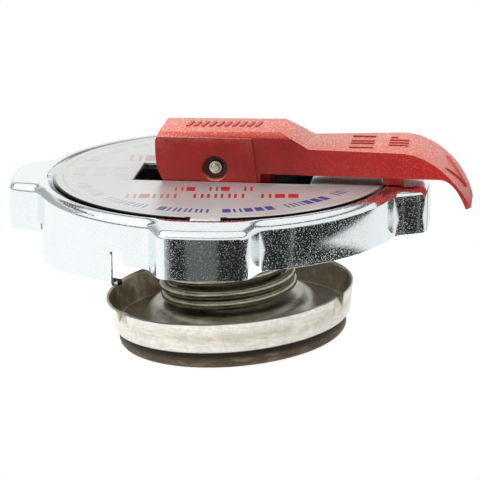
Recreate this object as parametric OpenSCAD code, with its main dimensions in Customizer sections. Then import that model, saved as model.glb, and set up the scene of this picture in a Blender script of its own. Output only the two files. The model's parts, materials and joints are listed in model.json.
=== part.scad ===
// Radiator cap with a lift lever that vents the pressure valve.
// Millimetres. Z is the axis of the shell, X runs along the lever, and z = 0 is
// the plane where the neck gasket sits on the rim of the filler neck.

/* [Shell] */
// Radius of the skirt between the grip lugs
skirt_r = 33.5; // [32:0.1:36]
// Thickness of the pressed sheet
shell_t = 0.8; // [0.6:0.05:1.2]
// Height of the shell's top above the neck rim
shell_top = 6.95; // [6.5:0.05:8.5]
// How far the skirt reaches below the neck rim
skirt_drop = 1.7; // [0.8:0.1:3]
// Radius of the rounded shoulder
shoulder_r = 1.6; // [1.2:0.1:2]

/* [Grip lugs] */
// Number of grip lugs
lug_count = 4; // [3:1:6]
// Radius over the grip lugs
lug_r = 38.3; // [36.5:0.1:41]
// Half width of a lug at its face
lug_face_half = 7.2; // [5:0.1:8]
// Half width of a lug at its root
lug_root_half = 9.8; // [8:0.1:11]
// Corner radius of a lug, seen from above
lug_corner_r = 2.2; // [1:0.1:3]
// Turn of the lugs from the axes
lug_turn = 3.5; // [0:0.5:8]

/* [Cam ears] */
// Angle that one cam ear spans
ear_span = 37; // [28:1:42]
// Middle of the first ear, measured from -Y towards -X
ear_place = 45; // [44:0.5:49]
// Depth of the ear's lip below the neck rim, at the middle of the ear
ear_drop = 6.85; // [6:0.05:9]
// Slope of the lip along the ear
ear_slope = 3.4; // [0:0.1:5]
// Inner radius of the lip
lip_r = 29.5; // [28:0.1:31]
// Width of the relief notch at each end of an ear
notch_w = 2.5; // [1.5:0.1:4]
// Height of the relief notch's top above the neck rim
notch_top = 0.6; // [0:0.1:2]

/* [Label disc] */
// Radius of the label disc
label_r = 31; // [29:0.1:31.5]
// Thickness of the label disc
label_t = 0.4; // [0.3:0.05:0.6]
// Width of the gap around the label disc
label_gap = 0.4; // [0.2:0.05:0.6]
// Width of the locating tabs on the label disc's edge
label_tab_w = 5.2; // [3:0.1:8]
// Length of the lever's slot behind the pin
slot_back = 15; // [13:0.1:16]
// Length of the lever's slot in front of the pin
slot_front = 17.2; // [15:0.1:18]
// Room between the lever's cheeks and the slot
slot_room = 0.3; // [0.2:0.05:0.6]

/* [Lever] */
// Length of the lever's head behind the pin
head_back = 10.8; // [9.5:0.1:12]
// Height of the head above the label disc
head_top = 9.2; // [8.5:0.1:11]
// Length of the lever from the pin to its tip
lever_l = 45.9; // [44:0.1:50]
// Height of the arm's top above the label disc
arm_top = 6.3; // [5:0.1:7]
// Drop of the tip below the label disc
tip_drop = 4; // [2:0.1:5]
// Width over the cheeks
cheek_w = 12.2; // [11:0.1:13]
// Width of the body beside the cheeks
body_w = 11.4; // [10.6:0.1:11.8]
// Width of the thumb end of the lever
thumb_w = 15.6; // [12:0.1:17]
// Width of the head's top face
crown_w = 10.3; // [9:0.1:10.5]
// Room in the lever's fork on each side of the stirrup
fork_room = 0.3; // [0.2:0.05:0.5]
// Wall around the hollow under the arm
arm_wall = 1.7; // [1.2:0.1:2.2]

/* [Lever pin] */
// Radius of the lever pin
pin_r = 1.18; // [1:0.02:1.5]
// Height of the pin above the label disc
pin_up = 2.4; // [2.2:0.1:3.4]
// Running clearance on the pin
pin_clear = 0.05; // [0.02:0.01:0.1]
// Radius of the recess around each end of the pin
recess_r = 2.33; // [2:0.05:3]
// Depth of the recess around each end of the pin
recess_d = 1.4; // [0.8:0.1:1.8]
// Running gap between the lever's heel and the cam pan
heel_gap = 0.15; // [0.05:0.01:0.3]

/* [Stack under the top] */
// Thickness of the neck gasket
gasket_t = 1.5; // [1:0.1:2]
// Inner radius of the neck gasket
gasket_in_r = 23.5; // [22:0.1:24.5]
// Outer radius of the neck gasket
gasket_out_r = 28.5; // [27:0.1:29]
// Thickness of the diaphragm disc
diaphragm_t = 0.3; // [0.2:0.05:0.5]
// Thickness of the cam pan's sheet
pan_t = 0.7; // [0.5:0.05:1]
// Outer radius of the cam pan's floor
pan_r = 24.7; // [23:0.1:26]

/* [Valve head] */
// Angle at which the valve head hangs from the lever pin
valve_lean = 3.9; // [0:0.1:4.2]
// Distance from the pin to the underside of the pressure seal
valve_l = 32.9; // [31:0.1:34]
// Radius of the valve cup at its rim
cup_rim_r = 22.9; // [22:0.1:24]
// Radius of the valve cup at its floor
cup_floor_r = 22; // [21.2:0.1:22.2]
// Height of the cup wall
cup_wall_h = 5.8; // [4:0.1:6.5]
// Thickness of the valve cup's sheet
cup_t = 0.5; // [0.4:0.05:0.7]
// Radius of the raised middle that carries the spring
seat_r = 14.3; // [13.8:0.1:15]
// Height of the raised middle above the cup floor
seat_h = 3.7; // [3:0.1:4.5]
// Width of the slope around the raised middle
seat_slope = 2.8; // [2:0.1:3.2]
// Radius of the pressure seal
seal_r = 21.1; // [20.5:0.1:21.3]
// Thickness of the pressure seal
seal_t = 3.1; // [2.6:0.1:3.6]
// Width of the crimped tabs in the cup's rim
crimp_w = 3.2; // [2:0.1:4]

/* [Springs and stirrup] */
// Wire of the pressure spring
spring_wire = 1.8; // [1.5:0.05:1.9]
// Outer diameter of the pressure spring
spring_od = 25.4; // [25:0.1:26]
// Turns of the pressure spring
spring_turns = 6; // [5:0.5:7]
// Radius of the sleeve inside the pressure spring
sleeve_r = 9.6; // [9:0.05:9.9]
// Height of the sleeve
sleeve_h = 9.9; // [8:0.1:11]
// Thickness of the stirrup plate
stirrup_t = 1.6; // [1.2:0.1:2]
// Half width of the stirrup's strap
strap_half = 3.2; // [2.8:0.1:3.4]
// Half width over the stirrup's legs
leg_half = 6.5; // [6:0.1:7]
// Travel of the vacuum valve
vacuum_travel = 2; // [1:0.1:2.4]
// Radius of the vacuum valve's stem
stem_r = 1; // [0.8:0.05:1.2]

/* [Hidden] */
$fn = 96;
fine = 0.01;
reach = 60;
// How far a cut runs past the face that it opens
over = 1;

// Levels of the fixed stack, above the neck rim
label_proud = 0.05;
label_top = shell_top + label_proud;
label_low = label_top - label_t;
sheet_low = label_low - shell_t;
diaphragm_low = gasket_t;
pan_low = gasket_t + diaphragm_t;
pan_floor = pan_low + pan_t;
skirt_low = -skirt_drop;

// Pin, heel and lift. The heel is an involute, so the pin rises evenly with the lever.
pin_z = label_top + pin_up;
heel_low = pin_z - pan_floor - heel_gap;
lift_rate = (head_back - heel_low) / 90;
heel_offset = lift_rate * 180 / PI;
pin_bore_r = pin_r + pin_clear;

// Widths that follow one another
slot_half_w = cheek_w / 2 + slot_room;
fork_half = stirrup_t / 2 + fork_room;
swing_half = strap_half + 1.4;
strap_l = 12.5;
leg_w = 2.5;
crotch_r = leg_half - leg_w;
crotch_drop = 5.5;

// Valve head, measured up from the underside of the pressure seal
cup_low = seal_t;
cup_rim = cup_low + cup_wall_h;
seat_low = cup_low + seat_h;
seat_top = seat_low + cup_t;
seat_foot_r = seat_r + seat_slope;
plate_t = 0.6;
plate_r = 11.4;
plate_flange_r = 15;
plate_low = 0.6;
eyelet_r = 2.6;
eyelet_bore = 1.7;
eyelet_flange_r = 3.6;
eyelet_flange_t = 0.5;
eyelet_low = seat_low - plate_t - eyelet_flange_t;
eyelet_top = seat_top + eyelet_flange_t;
disc_r = 6;
disc_t = 0.8;
disc_gap = 0.2;
clip_r = 3;
clip_t = 0.8;
vacuum_spring_solid = 3.2;
clip_low = eyelet_top + vacuum_spring_solid + vacuum_travel;
stem_over = 0.6;
crimp_turn = -52;
crimp_count = 3;
crimp_drop = 1.7;
crimp_lap = 0.6;
crimp_proud = 0.3;
crimp_lean = 0.8;
crimp_tip = 0.2;
crimp_half = 3.2;
knee = cup_t + 0.3;
wall_foot = cup_low + knee;

// Finishes
zinc = [0.80, 0.83, 0.85];
label_metal = [0.83, 0.83, 0.82];
lever_red = [0.78, 0.15, 0.15];
stainless = [0.66, 0.65, 0.61];
spring_steel = [0.42, 0.41, 0.36];
black_rubber = [0.16, 0.13, 0.11];
brass = [0.72, 0.58, 0.30];

// Points on an arc from one angle to another
function arc(cx, cy, r, from, to, steps = 6) =
    [for (i = [0:steps]) let (a = from + (to - from) * i / steps) [cx + r * cos(a), cy + r * sin(a)]];

// Points on a cubic curve with two handles
function curve(a, b, c, d, steps = 10) =
    [for (i = [0:steps]) let (t = i / steps, s = 1 - t)
        s * s * s * a + 3 * s * s * t * b + 3 * s * t * t * c + t * t * t * d];

// Place on the heel's involute where it bears when the lever has turned by an angle
function heel_point(angle) = let (h = heel_low + lift_rate * angle)
    [-h * sin(angle) - heel_offset * cos(angle), pin_z - h * cos(angle) + heel_offset * sin(angle)];

// A point turned about the lever pin, in the plane of the swing
function swung(p, angle) = [p.x * cos(angle) - (p.z - pin_z) * sin(angle), p.y,
    pin_z + p.x * sin(angle) + (p.z - pin_z) * cos(angle)];

// A round wire along a list of centre points, closed at both ends
module wire(path, r, sides = 8) {
    count = len(path);
    rings = [for (i = [0:count - 1])
        let (ahead = path[min(i + 1, count - 1)] - path[max(i - 1, 0)],
             along = ahead / norm(ahead),
             side = cross(along, [0, 0, 1]),
             out = side / norm(side),
             up = cross(out, along))
        [for (k = [0:sides - 1]) path[i] + r * (cos(360 * k / sides) * out + sin(360 * k / sides) * up)]];
    points = [for (ring = rings) each ring];
    walls = [for (i = [0:count - 2], k = [0:sides - 1])
        let (n = (k + 1) % sides, a = i * sides, b = a + sides) [a + k, b + k, b + n, a + n]];
    near = [for (k = [0:sides - 1]) k];
    far = [for (k = [sides - 1:-1:0]) (count - 1) * sides + k];
    polyhedron(points, concat([near, far], walls), convexity = 10);
}

// Half section of a drum with a rounded upper edge
module drum_section(r, low, top, edge) {
    translate([0, low]) square([r, top - edge - low]);
    translate([0, low]) square([r - edge, top - low]);
    translate([r - edge, top - edge]) circle(edge);
}

module drum(r, low, top, edge) {
    rotate_extrude() intersection() {
        drum_section(r, low, top, edge);
        translate([0, low]) square([r, top - low]);
    }
}

// A ring with a square section
module ring(outer, inner, low, top) {
    translate([0, 0, low]) difference() {
        cylinder(r = outer, h = top - low);
        translate([0, 0, -over]) cylinder(r = inner, h = top - low + 2 * over);
    }
}

// Places the valve head, which hangs from the lever pin and leans
module hung() {
    translate([0, 0, pin_z]) rotate([0, -valve_lean, 0]) translate([0, 0, -valve_l]) children();
}

// Grip lug, shrunk by an inset for the inside of the sheet
lug_root_r = skirt_r * cos(asin(lug_root_half / skirt_r));
lug_slant = atan2(lug_root_half - lug_face_half, lug_r - lug_root_r);

module lug_plan(inset) {
    half = lug_face_half - inset / cos(lug_slant);
    edge = lug_corner_r - inset;
    back = 16;
    spread = (lug_r - back) * tan(lug_slant);
    corner_x = lug_r - inset - edge;
    corner_y = half + (lug_r - corner_x) * tan(lug_slant) - edge / cos(lug_slant);
    upper = arc(corner_x, corner_y, edge, 90 - lug_slant, 0);
    lower = [for (i = [len(upper) - 1:-1:0]) [upper[i].x, -upper[i].y]];
    polygon(concat([[back, half + spread]], upper, lower, [[back, -half - spread]]));
}

module lug_flank(inset, low, top) {
    edge = shoulder_r - inset;
    half = lug_face_half - inset / cos(lug_slant);
    translate([lug_r, half, 0]) rotate([0, 0, -lug_slant]) rotate([90, 0, 90])
        translate([0, 0, -reach]) linear_extrude(2 * reach) {
            translate([-reach, low]) square([reach, top - edge - low]);
            translate([-reach, low]) square([reach - edge, top - low]);
            translate([-edge, top - edge]) circle(edge);
        }
}

module lug(inset, low, top) {
    intersection() {
        drum(lug_r - inset, low, top, shoulder_r - inset);
        translate([0, 0, low]) linear_extrude(top - low) lug_plan(inset);
        lug_flank(inset, low, top);
        mirror([0, 1, 0]) lug_flank(inset, low, top);
    }
}

module lugs(inset, low, top) {
    for (i = [0:lug_count - 1]) rotate(360 / lug_count * i + lug_turn) lug(inset, low, top);
}

// Cam ears: the skirt carried down and folded in under the neck's flange
notch_span = notch_w / skirt_r * 180 / PI;

module wedge(half_angle, low, top) {
    far = 2 * reach;
    translate([0, 0, low]) linear_extrude(top - low)
        polygon([[0, 0], far * [cos(half_angle), -sin(half_angle)], far * [cos(half_angle), sin(half_angle)]]);
}

module at_ears() {
    for (i = [0, 1]) rotate(180 * i - 90 - ear_place) children();
}

// Places a shape on the sloping plane of an ear's lip
module on_lip() {
    translate([0, 0, -ear_drop]) rotate([ear_slope, 0, 0]) children();
}

module lip() {
    intersection() {
        wedge(ear_span / 2, -reach, 0);
        on_lip() difference() {
            translate([-reach, -reach, 0]) cube([2 * reach, 2 * reach, shell_t]);
            cylinder(r = lip_r, h = reach, center = true);
        }
    }
}

// What is cut away under an ear, so that its fold is rounded
module under_lip() {
    fold_room = 0.3;
    difference() {
        wedge(ear_span / 2 + notch_span / 2, -reach / 2, skirt_low - over);
        on_lip() rotate([180, 0, 0]) drum(skirt_r + fold_room, -reach, 0, shoulder_r);
    }
}

// What is cut away below the skirt, beside the ears
module below_skirt() {
    difference() {
        translate([0, 0, skirt_low - reach]) cylinder(r = reach, h = reach);
        at_ears() wedge(ear_span / 2 + notch_span / 2, -2 * reach, reach);
    }
}

module notches() {
    for (side = [-1, 1]) rotate(side * (ear_span + notch_span) / 2) wedge(notch_span / 2, -reach, notch_top);
}

module shell() {
    deep = -2 * ear_drop;
    color(zinc) difference() {
        union() {
            difference() {
                union() {
                    drum(skirt_r, deep, shell_top, shoulder_r);
                    lugs(0, skirt_low, shell_top);
                }
                difference() {
                    drum(skirt_r - shell_t, deep - over, shell_top - shell_t, shoulder_r - shell_t);
                    at_ears() lip();
                }
                lugs(shell_t, skirt_low - over, shell_top - shell_t);
                below_skirt();
                at_ears() {
                    notches();
                    under_lip();
                }
            }
            translate([0, 0, sheet_low]) cylinder(r = label_r + label_gap + shell_t, h = shell_t);
        }
        translate([0, 0, label_low]) cylinder(r = label_r + label_gap, h = 2 * label_t);
        lever_slot(sheet_low - over, label_top + over);
    }
}

module lever_slot(low, top) {
    translate([-slot_back, -slot_half_w, low]) cube([slot_back + slot_front, 2 * slot_half_w, top - low]);
}

module label_plan() {
    tab_room = 0.05;
    difference() {
        union() {
            circle(label_r);
            intersection() {
                circle(label_r + label_gap - tab_room);
                for (i = [0:lug_count - 1]) rotate(360 / lug_count * i + lug_turn)
                    translate([0, -label_tab_w / 2]) square([2 * label_r, label_tab_w]);
            }
        }
        translate([-slot_back, -slot_half_w]) square([slot_back + slot_front, 2 * slot_half_w]);
    }
}

module label_disc() {
    color(label_metal) translate([0, 0, label_low]) linear_extrude(label_t) label_plan();
}

// Pan under the top sheet. The lever's heel bears on its floor, beside the slot for the stirrup.
module cam_pan() {
    color(stainless) difference() {
        union() {
            ring(gasket_out_r, pan_r - pan_t, sheet_low - pan_t, sheet_low);
            ring(pan_r, pan_r - pan_t, pan_low, sheet_low);
            translate([0, 0, pan_low]) cylinder(r = pan_r, h = pan_t);
        }
        translate([-swing_half, -fork_half, pan_low - over])
            cube([2 * swing_half, 2 * fork_half, pan_t + 2 * over]);
    }
}

module diaphragm() {
    edge = 0.9;
    room = 0.6;
    color(stainless) ring(gasket_out_r + edge, swing_half + room, diaphragm_low, diaphragm_low + diaphragm_t);
}

module neck_gasket() {
    color(black_rubber) ring(gasket_out_r, gasket_in_r, 0, gasket_t);
}

// Pressure spring: two closed turns on the valve cup, open turns, and one closed turn at the top
spring_room = 0.12;
spring_mean = spring_od / 2 - spring_wire / 2;
spring_low = pin_z - valve_l + seat_top + spring_wire / 2 + spring_room;
spring_high = diaphragm_low - spring_wire / 2 - spring_room;
closed_low = 1.9;
closed_high = 0.9;

function spring_height(turn) =
    let (pitch = spring_wire + spring_room / 2,
         open_low = spring_low + closed_low * pitch,
         open_high = spring_high - closed_high * pitch,
         open = (open_high - open_low) / (spring_turns - closed_low - closed_high))
    turn < closed_low ? spring_low + turn * pitch
    : turn > spring_turns - closed_high ? spring_high - (spring_turns - turn) * pitch
    : open_low + (turn - closed_low) * open;

module pressure_spring() {
    steps = 24;
    count = spring_turns * steps;
    first = 130;
    path = [for (i = [0:count])
        let (turn = i / steps, z = spring_height(turn), share = (spring_high - z) / (spring_high - spring_low),
             a = first + 360 * turn)
        swung([spring_mean * cos(a), spring_mean * sin(a), z], valve_lean * share)];
    color(spring_steel) wire(path, spring_wire / 2);
}

module lever_pin() {
    end_l = 0.6;
    tip_in = 0.3;
    tip_step = 0.47;
    color(spring_steel) translate([0, 0, pin_z]) rotate([90, 0, 0]) {
        cylinder(r = pin_r, h = cheek_w - 2 * recess_d + 2 * end_l, center = true);
        cylinder(r = pin_r - tip_step, h = cheek_w - 2 * tip_in, center = true);
    }
}

// Lever: a moulded arm with a cam heel, seen from the side
lever_front = 8.2;
arm_low = 1.5;
arm_low_end = 1.8;
slope_x = 11.65;
arm_x = 16.9;
flare_x = 14;
bend_x = 32.5;
foot_x = 30.2;
foot_l = 3.5;
foot_room = 0.1;
fork_end_room = 0.4;
crown = 1.2;
panel_lean = 1.6;
web_half = 4.2;
web_l = 1.5;
back_bevel = [0.6, 1.5];
// How much lower the head is at its back
head_fall = 0.4;
back_top = label_top + head_top - head_fall;
arm_rise = 0.15;
tip_w = [0.9, 0.1];
// Handles of the curve over the tip and of the curve under it, measured from the tip
over_handles = [[-7.7, 10.8], [-2.1, 5.8]];
under_handles = [[-1.9, 3], [-3.3, 5.8]];
under_end = [-5.6, 5.8];

function lever_points() = let (tip = [lever_l, label_top - tip_drop]) concat(
    [for (a = [0:10:90]) heel_point(a)],
    [[-head_back, back_top - back_bevel.y], [-head_back + back_bevel.x, back_top],
     [slope_x, label_top + head_top], [arm_x, label_top + arm_top]],
    curve([bend_x, label_top + arm_top + arm_rise], tip + over_handles[0], tip + over_handles[1], tip),
    curve(tip + [-tip_w.x, tip_w.y], tip + under_handles[0], tip + under_handles[1], tip + under_end),
    [[foot_x, label_top + arm_low_end], [arm_x, label_top + arm_low], [lever_front, label_top + arm_low], [lever_front, heel_point(0).y]]);

// Lifts a side outline into a plate of a width centred on the lever
module side_plate(width) {
    translate([0, width / 2, 0]) rotate([90, 0, 0]) linear_extrude(width) children();
}

// The lever's section across, with its bevelled crown, run along the lever
module lever_section() {
    top = label_top + head_top;
    translate([-reach, 0, 0]) rotate([90, 0, 90]) linear_extrude(2 * reach)
        polygon([[-thumb_w, -reach], [thumb_w, -reach], [thumb_w, top - 2 * crown], [body_w / 2, top - crown],
                 [crown_w / 2, top], [-crown_w / 2, top], [-body_w / 2, top - crown],
                 [-thumb_w, top - 2 * crown]]);
}

// The lever seen from above, with its thumb end spread and rounded
module lever_plan() {
    tip_r = 4;
    half = body_w / 2;
    wide = thumb_w / 2;
    translate([0, 0, -reach]) linear_extrude(2 * reach) polygon(concat(
        [[-head_back - over, -half], [flare_x, -half], [bend_x, -wide]],
        arc(lever_l - tip_r, -wide + tip_r, tip_r, -90, 0),
        arc(lever_l - tip_r, wide - tip_r, tip_r, 0, 90),
        [[bend_x, wide], [flare_x, half], [-head_back - over, half]]));
}

module cheek_outline() {
    panel_top = label_top + head_top - crown;
    polygon(concat([for (a = [0:10:90]) heel_point(a)],
        [[-head_back, back_top - back_bevel.y],
         [-head_back + back_bevel.x * (1 - (back_top - panel_top) / back_bevel.y), panel_top],
         [lever_front - panel_lean, panel_top], [lever_front, heel_point(0).y]]));
}

module fork_outline() {
    room = strap_half + fork_end_room;
    around = arc(0, pin_z, room, valve_lean, 90 - valve_lean);
    down = reach * [sin(valve_lean), -cos(valve_lean)];
    back = reach * [-cos(valve_lean), sin(valve_lean)];
    polygon(concat([around[0] + down], around, [around[len(around) - 1] + back, [-reach, -reach]]));
}

module arm_hollow() {
    from = lever_front + web_l;
    head_roof = label_top + head_top - 2 * arm_wall;
    slope_in = 1;
    side_plate(body_w - 2 * arm_wall) polygon([[from, label_top - over], [from, head_roof],
        [slope_x - slope_in, head_roof], [arm_x - slope_in, label_top + arm_top - arm_wall],
        [foot_x, label_top + arm_top - arm_wall], [foot_x, label_top - over]]);
}

module lever() {
    color(lever_red) difference() {
        union() {
            intersection() {
                side_plate(2 * thumb_w) polygon(lever_points());
                lever_section();
                lever_plan();
            }
            side_plate(cheek_w) cheek_outline();
            translate([lever_front - web_l, -web_half, heel_point(0).y])
                cube([2 * web_l, 2 * web_half, label_top + arm_top - heel_point(0).y]);
            translate([foot_x, -body_w / 2, label_top + foot_room])
                cube([foot_l, body_w, arm_top - arm_wall]);
        }
        side_plate(2 * fork_half) fork_outline();
        arm_hollow();
        translate([0, 0, pin_z]) rotate([90, 0, 0]) {
            cylinder(r = pin_bore_r, h = 2 * cheek_w, center = true);
            for (side = [0, 1]) mirror([0, 0, side])
                translate([0, 0, cheek_w / 2 - recess_d]) cylinder(r = recess_r, h = cheek_w);
        }
    }
}

// Stirrup: a flat plate from the lever pin to the valve cup, forked around the vacuum valve
module stirrup_outline() {
    spread = 2;
    leg_l = valve_l - seat_top;
    leg_mid = (leg_half + crotch_r) / 2;
    union() {
        circle(strap_half);
        translate([-strap_half, -strap_l]) square([2 * strap_half, strap_l]);
        polygon([[-strap_half, -strap_l], [-leg_half, -strap_l - spread], [-leg_half, -leg_l],
                 [leg_half, -leg_l], [leg_half, -strap_l - spread], [strap_half, -strap_l]]);
        for (side = [-1, 1]) translate([side * leg_mid - tenon_w / 2, -leg_l - cup_t])
            square([tenon_w, cup_t + fine]);
    }
}
tenon_w = 1.6;
tenon_room = 0.05;

module stirrup() {
    crotch_top = strap_l + crotch_drop;
    color(stainless) translate([0, 0, pin_z]) rotate([0, -valve_lean, 0]) rotate([90, 0, 0])
        translate([0, 0, -stirrup_t / 2]) linear_extrude(stirrup_t) difference() {
            stirrup_outline();
            circle(pin_bore_r);
            translate([0, -crotch_top]) circle(crotch_r);
            translate([-crotch_r, -valve_l]) square([2 * crotch_r, valve_l - crotch_top]);
        }
}

// Sleeve that guides the inside of the pressure spring
module spring_sleeve() {
    wall = 0.6;
    leg_room = 0.4;
    color(spring_steel) hung() translate([0, 0, seat_top]) {
        ring(sleeve_r, sleeve_r - wall, 0, sleeve_h);
        ring(sleeve_r - wall / 2, leg_half + leg_room, 0, wall);
    }
}

// Outer radius of the cup's wall at a height
function wall_r(h) = cup_floor_r + (cup_rim_r - cup_floor_r) * (h - wall_foot) / (cup_rim - wall_foot);

// Section of the cup's sheet, with a raised middle, a rounded knee and a flared wall
module cup_section() {
    flare = atan2(cup_rim_r - cup_floor_r, cup_rim - wall_foot);
    shift = cup_t * tan(atan2(seat_h, seat_slope) / 2);
    knee_x = cup_floor_r - knee;
    polygon(concat(
        [[0, seat_low], [seat_r, seat_low], [seat_foot_r, cup_low]],
        arc(knee_x, wall_foot, knee, -90, -flare),
        [[cup_rim_r, cup_rim], [cup_rim_r - cup_t, cup_rim]],
        arc(knee_x, wall_foot, knee - cup_t, -flare, -90),
        [[seat_foot_r + shift, cup_low + cup_t], [seat_r + shift, seat_top], [0, seat_top]]));
}

// A tab crimped in from the cup's rim, rooted in the wall below its notch
module crimp() {
    root = cup_rim - crimp_drop - crimp_lap;
    tip = cup_rim - crimp_tip;
    root_r = wall_r(root) + crimp_proud;
    tip_r = root_r - crimp_lean;
    rotate([0, 0, -crimp_half]) rotate_extrude(angle = 2 * crimp_half)
        polygon([[root_r - cup_t, root], [root_r, root], [tip_r, tip], [tip_r - cup_t, tip]]);
}

// Pressed valve cup with a raised middle, and tabs crimped in at its rim
module valve_cup() {
    color(stainless) hung() difference() {
        union() {
            difference() {
                rotate_extrude() cup_section();
                at_crimps() translate([cup_rim_r, 0, cup_rim])
                    cube([8 * cup_t, crimp_w, 2 * crimp_drop], center = true);
            }
            at_crimps() crimp();
        }
        cylinder(r = eyelet_r + tenon_room, h = reach, center = true);
        for (side = [-1, 1]) translate([side * (leg_half + crotch_r) / 2, 0, seat_low])
            cube([tenon_w + 2 * tenon_room, stirrup_t + 2 * tenon_room, 4 * cup_t], center = true);
    }
}

module at_crimps() {
    for (i = [0:crimp_count - 1]) rotate(360 / crimp_count * i - 90 + crimp_turn) children();
}

module pressure_seal() {
    edge = 1.2;
    room = 0.4;
    step_r = plate_flange_r + room;
    color(black_rubber) hung() rotate_extrude() polygon(concat(
        [[plate_r + room, plate_low + plate_t], [step_r, plate_low + plate_t], [step_r, 0]],
        arc(seal_r - edge, edge, edge, -90, 0),
        [[seal_r, seal_t], [plate_r + room, seal_t]]));
}

module seal_plate() {
    color(stainless) hung() {
        ring(plate_flange_r, plate_r - plate_t, plate_low, plate_low + plate_t);
        ring(plate_r, plate_r - plate_t, plate_low, seat_low);
        ring(plate_r, eyelet_r + tenon_room, seat_low - plate_t, seat_low);
    }
}

module eyelet() {
    color(brass) hung() {
        ring(eyelet_r, eyelet_bore, eyelet_low, eyelet_top);
        ring(eyelet_flange_r, eyelet_bore, eyelet_low, eyelet_low + eyelet_flange_t);
        ring(eyelet_flange_r, eyelet_bore, seat_top, eyelet_top);
    }
}

// Vacuum valve: a light spring holds its disc up against the eyelet
vacuum_wire = 0.5;

module vacuum_spring() {
    steps = 16;
    turns = 5;
    room = 0.1;
    clear = 1;
    r = eyelet_bore + clear;
    low = eyelet_top + vacuum_wire / 2 + room;
    high = clip_low - vacuum_wire / 2 - room;
    path = [for (i = [0:steps * turns]) let (a = 360 * i / steps)
        [r * cos(a), r * sin(a), low + (high - low) * i / (steps * turns)]];
    color(spring_steel) hung() wire(path, vacuum_wire / 2, 6);
}

module vacuum_disc() {
    color(brass) hung() ring(disc_r, stem_r, eyelet_low - disc_gap - disc_t, eyelet_low - disc_gap);
}

module vacuum_stem() {
    head_t = 0.5;
    low = eyelet_low - disc_gap - disc_t;
    color(brass) hung() {
        translate([0, 0, low]) cylinder(r = stem_r, h = clip_low + clip_t + stem_over - low);
        translate([0, 0, low - head_t]) cylinder(r = 2 * stem_r, h = head_t);
    }
}

module spring_clip() {
    color(spring_steel) hung() ring(clip_r, stem_r, clip_low, clip_low + clip_t);
}

shell();
label_disc();
cam_pan();
diaphragm();
neck_gasket();
pressure_spring();
lever_pin();
lever();
stirrup();
spring_sleeve();
valve_cup();
pressure_seal();
seal_plate();
eyelet();
vacuum_spring();
vacuum_disc();
vacuum_stem();
spring_clip();
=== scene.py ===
"""Looks of a radiator cap with a vent lever: soft-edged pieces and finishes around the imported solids.

Lengths below are in millimetres, in the same frame as the solids. They become metres where a mesh, a node
or the frame takes them.
"""

import functools
import json
import math

import bmesh
import bpy
import numpy as np
from mathutils import Matrix, Vector


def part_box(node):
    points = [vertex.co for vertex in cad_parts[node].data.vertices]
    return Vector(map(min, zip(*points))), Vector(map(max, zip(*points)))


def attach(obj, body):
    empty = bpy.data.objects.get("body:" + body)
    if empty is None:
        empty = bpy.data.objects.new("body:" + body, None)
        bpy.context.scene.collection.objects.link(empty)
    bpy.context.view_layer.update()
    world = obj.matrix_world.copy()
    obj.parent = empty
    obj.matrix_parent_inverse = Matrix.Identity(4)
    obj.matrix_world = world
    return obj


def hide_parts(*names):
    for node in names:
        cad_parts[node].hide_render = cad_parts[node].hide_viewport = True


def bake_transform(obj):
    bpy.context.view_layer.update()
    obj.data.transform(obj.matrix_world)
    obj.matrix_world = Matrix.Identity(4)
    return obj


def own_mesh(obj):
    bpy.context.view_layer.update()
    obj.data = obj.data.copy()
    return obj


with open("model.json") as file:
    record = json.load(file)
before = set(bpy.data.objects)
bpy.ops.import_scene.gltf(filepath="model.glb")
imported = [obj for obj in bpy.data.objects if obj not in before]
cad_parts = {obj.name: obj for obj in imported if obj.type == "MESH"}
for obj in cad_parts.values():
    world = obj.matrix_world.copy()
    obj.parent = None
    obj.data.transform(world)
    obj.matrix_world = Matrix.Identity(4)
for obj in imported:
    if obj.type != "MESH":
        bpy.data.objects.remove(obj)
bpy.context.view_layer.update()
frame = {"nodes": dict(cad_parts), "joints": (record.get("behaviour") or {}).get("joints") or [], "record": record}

MM = 0.001
PER_MM = 1000.0
WHOLE_TURN = 2 * math.pi
TINY = 1e-9
SAME_TURN = 1e-4
joints = {joint["name"]: joint for joint in frame["joints"]}
SLOT_OF = {part["node"]: part["material_slot"] for part in frame["record"]["subparts"]}
BODY_OF = {node: body for body, nodes in frame["record"]["behaviour"]["bodies"].items() for node in nodes}


def low_of(node):
    return np.array(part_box(node)[0]) / MM


def high_of(node):
    return np.array(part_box(node)[1]) / MM


def wrapped(turn, whole=WHOLE_TURN):
    """An angle brought to within half a whole of zero, on either side."""
    return (turn + whole / 2) % whole - whole / 2


# Frame of the valve head, which hangs from the lever pin and leans
PIN_Z = joints["lever_turn"]["pos_m"][2] / MM
VALVE_AXIS = Vector(joints["vacuum_open"]["axis"])
LEAN = math.asin(VALVE_AXIS.x)
VALVE_L = 32.9

# Shell
SHELL_TOP = high_of("shell")[2]
SHELL_T = 0.8
SHELL_EDGE = 0.24
SKIRT_R = 33.5
SKIRT_LOW = -1.7
SHOULDER_R = 1.6
LUG_COUNT = 4
LUG_R = high_of("shell")[0]
LUG_TURN = math.radians(3.5)
LUG_FACE_HALF = 7.2
LUG_ROOT_HALF = 9.8
LUG_CORNER_R = 2.2
LUG_FILLET_R = 3.0
SECTOR = WHOLE_TURN / LUG_COUNT
WALL_BOW = 0.08
LAND_SLOPE = 0.065
EAR_MIDDLES = (math.radians(-135), math.radians(45))
EAR_HALF = math.radians(18.5)
EAR_LOW = -6.85
EAR_SLOPE = math.tan(math.radians(3.4))
EAR_MARGIN = 0.5
LIP_R = 29.5
LIP_CORNER_R = 0.5
NOTCH_W = 2.5
NOTCH_TOP = 0.6
NOTCH_CORNER_R = 0.6
NOTCH_FLARE_R = 0.9
NOTCH_MARGIN = 0.4

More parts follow.
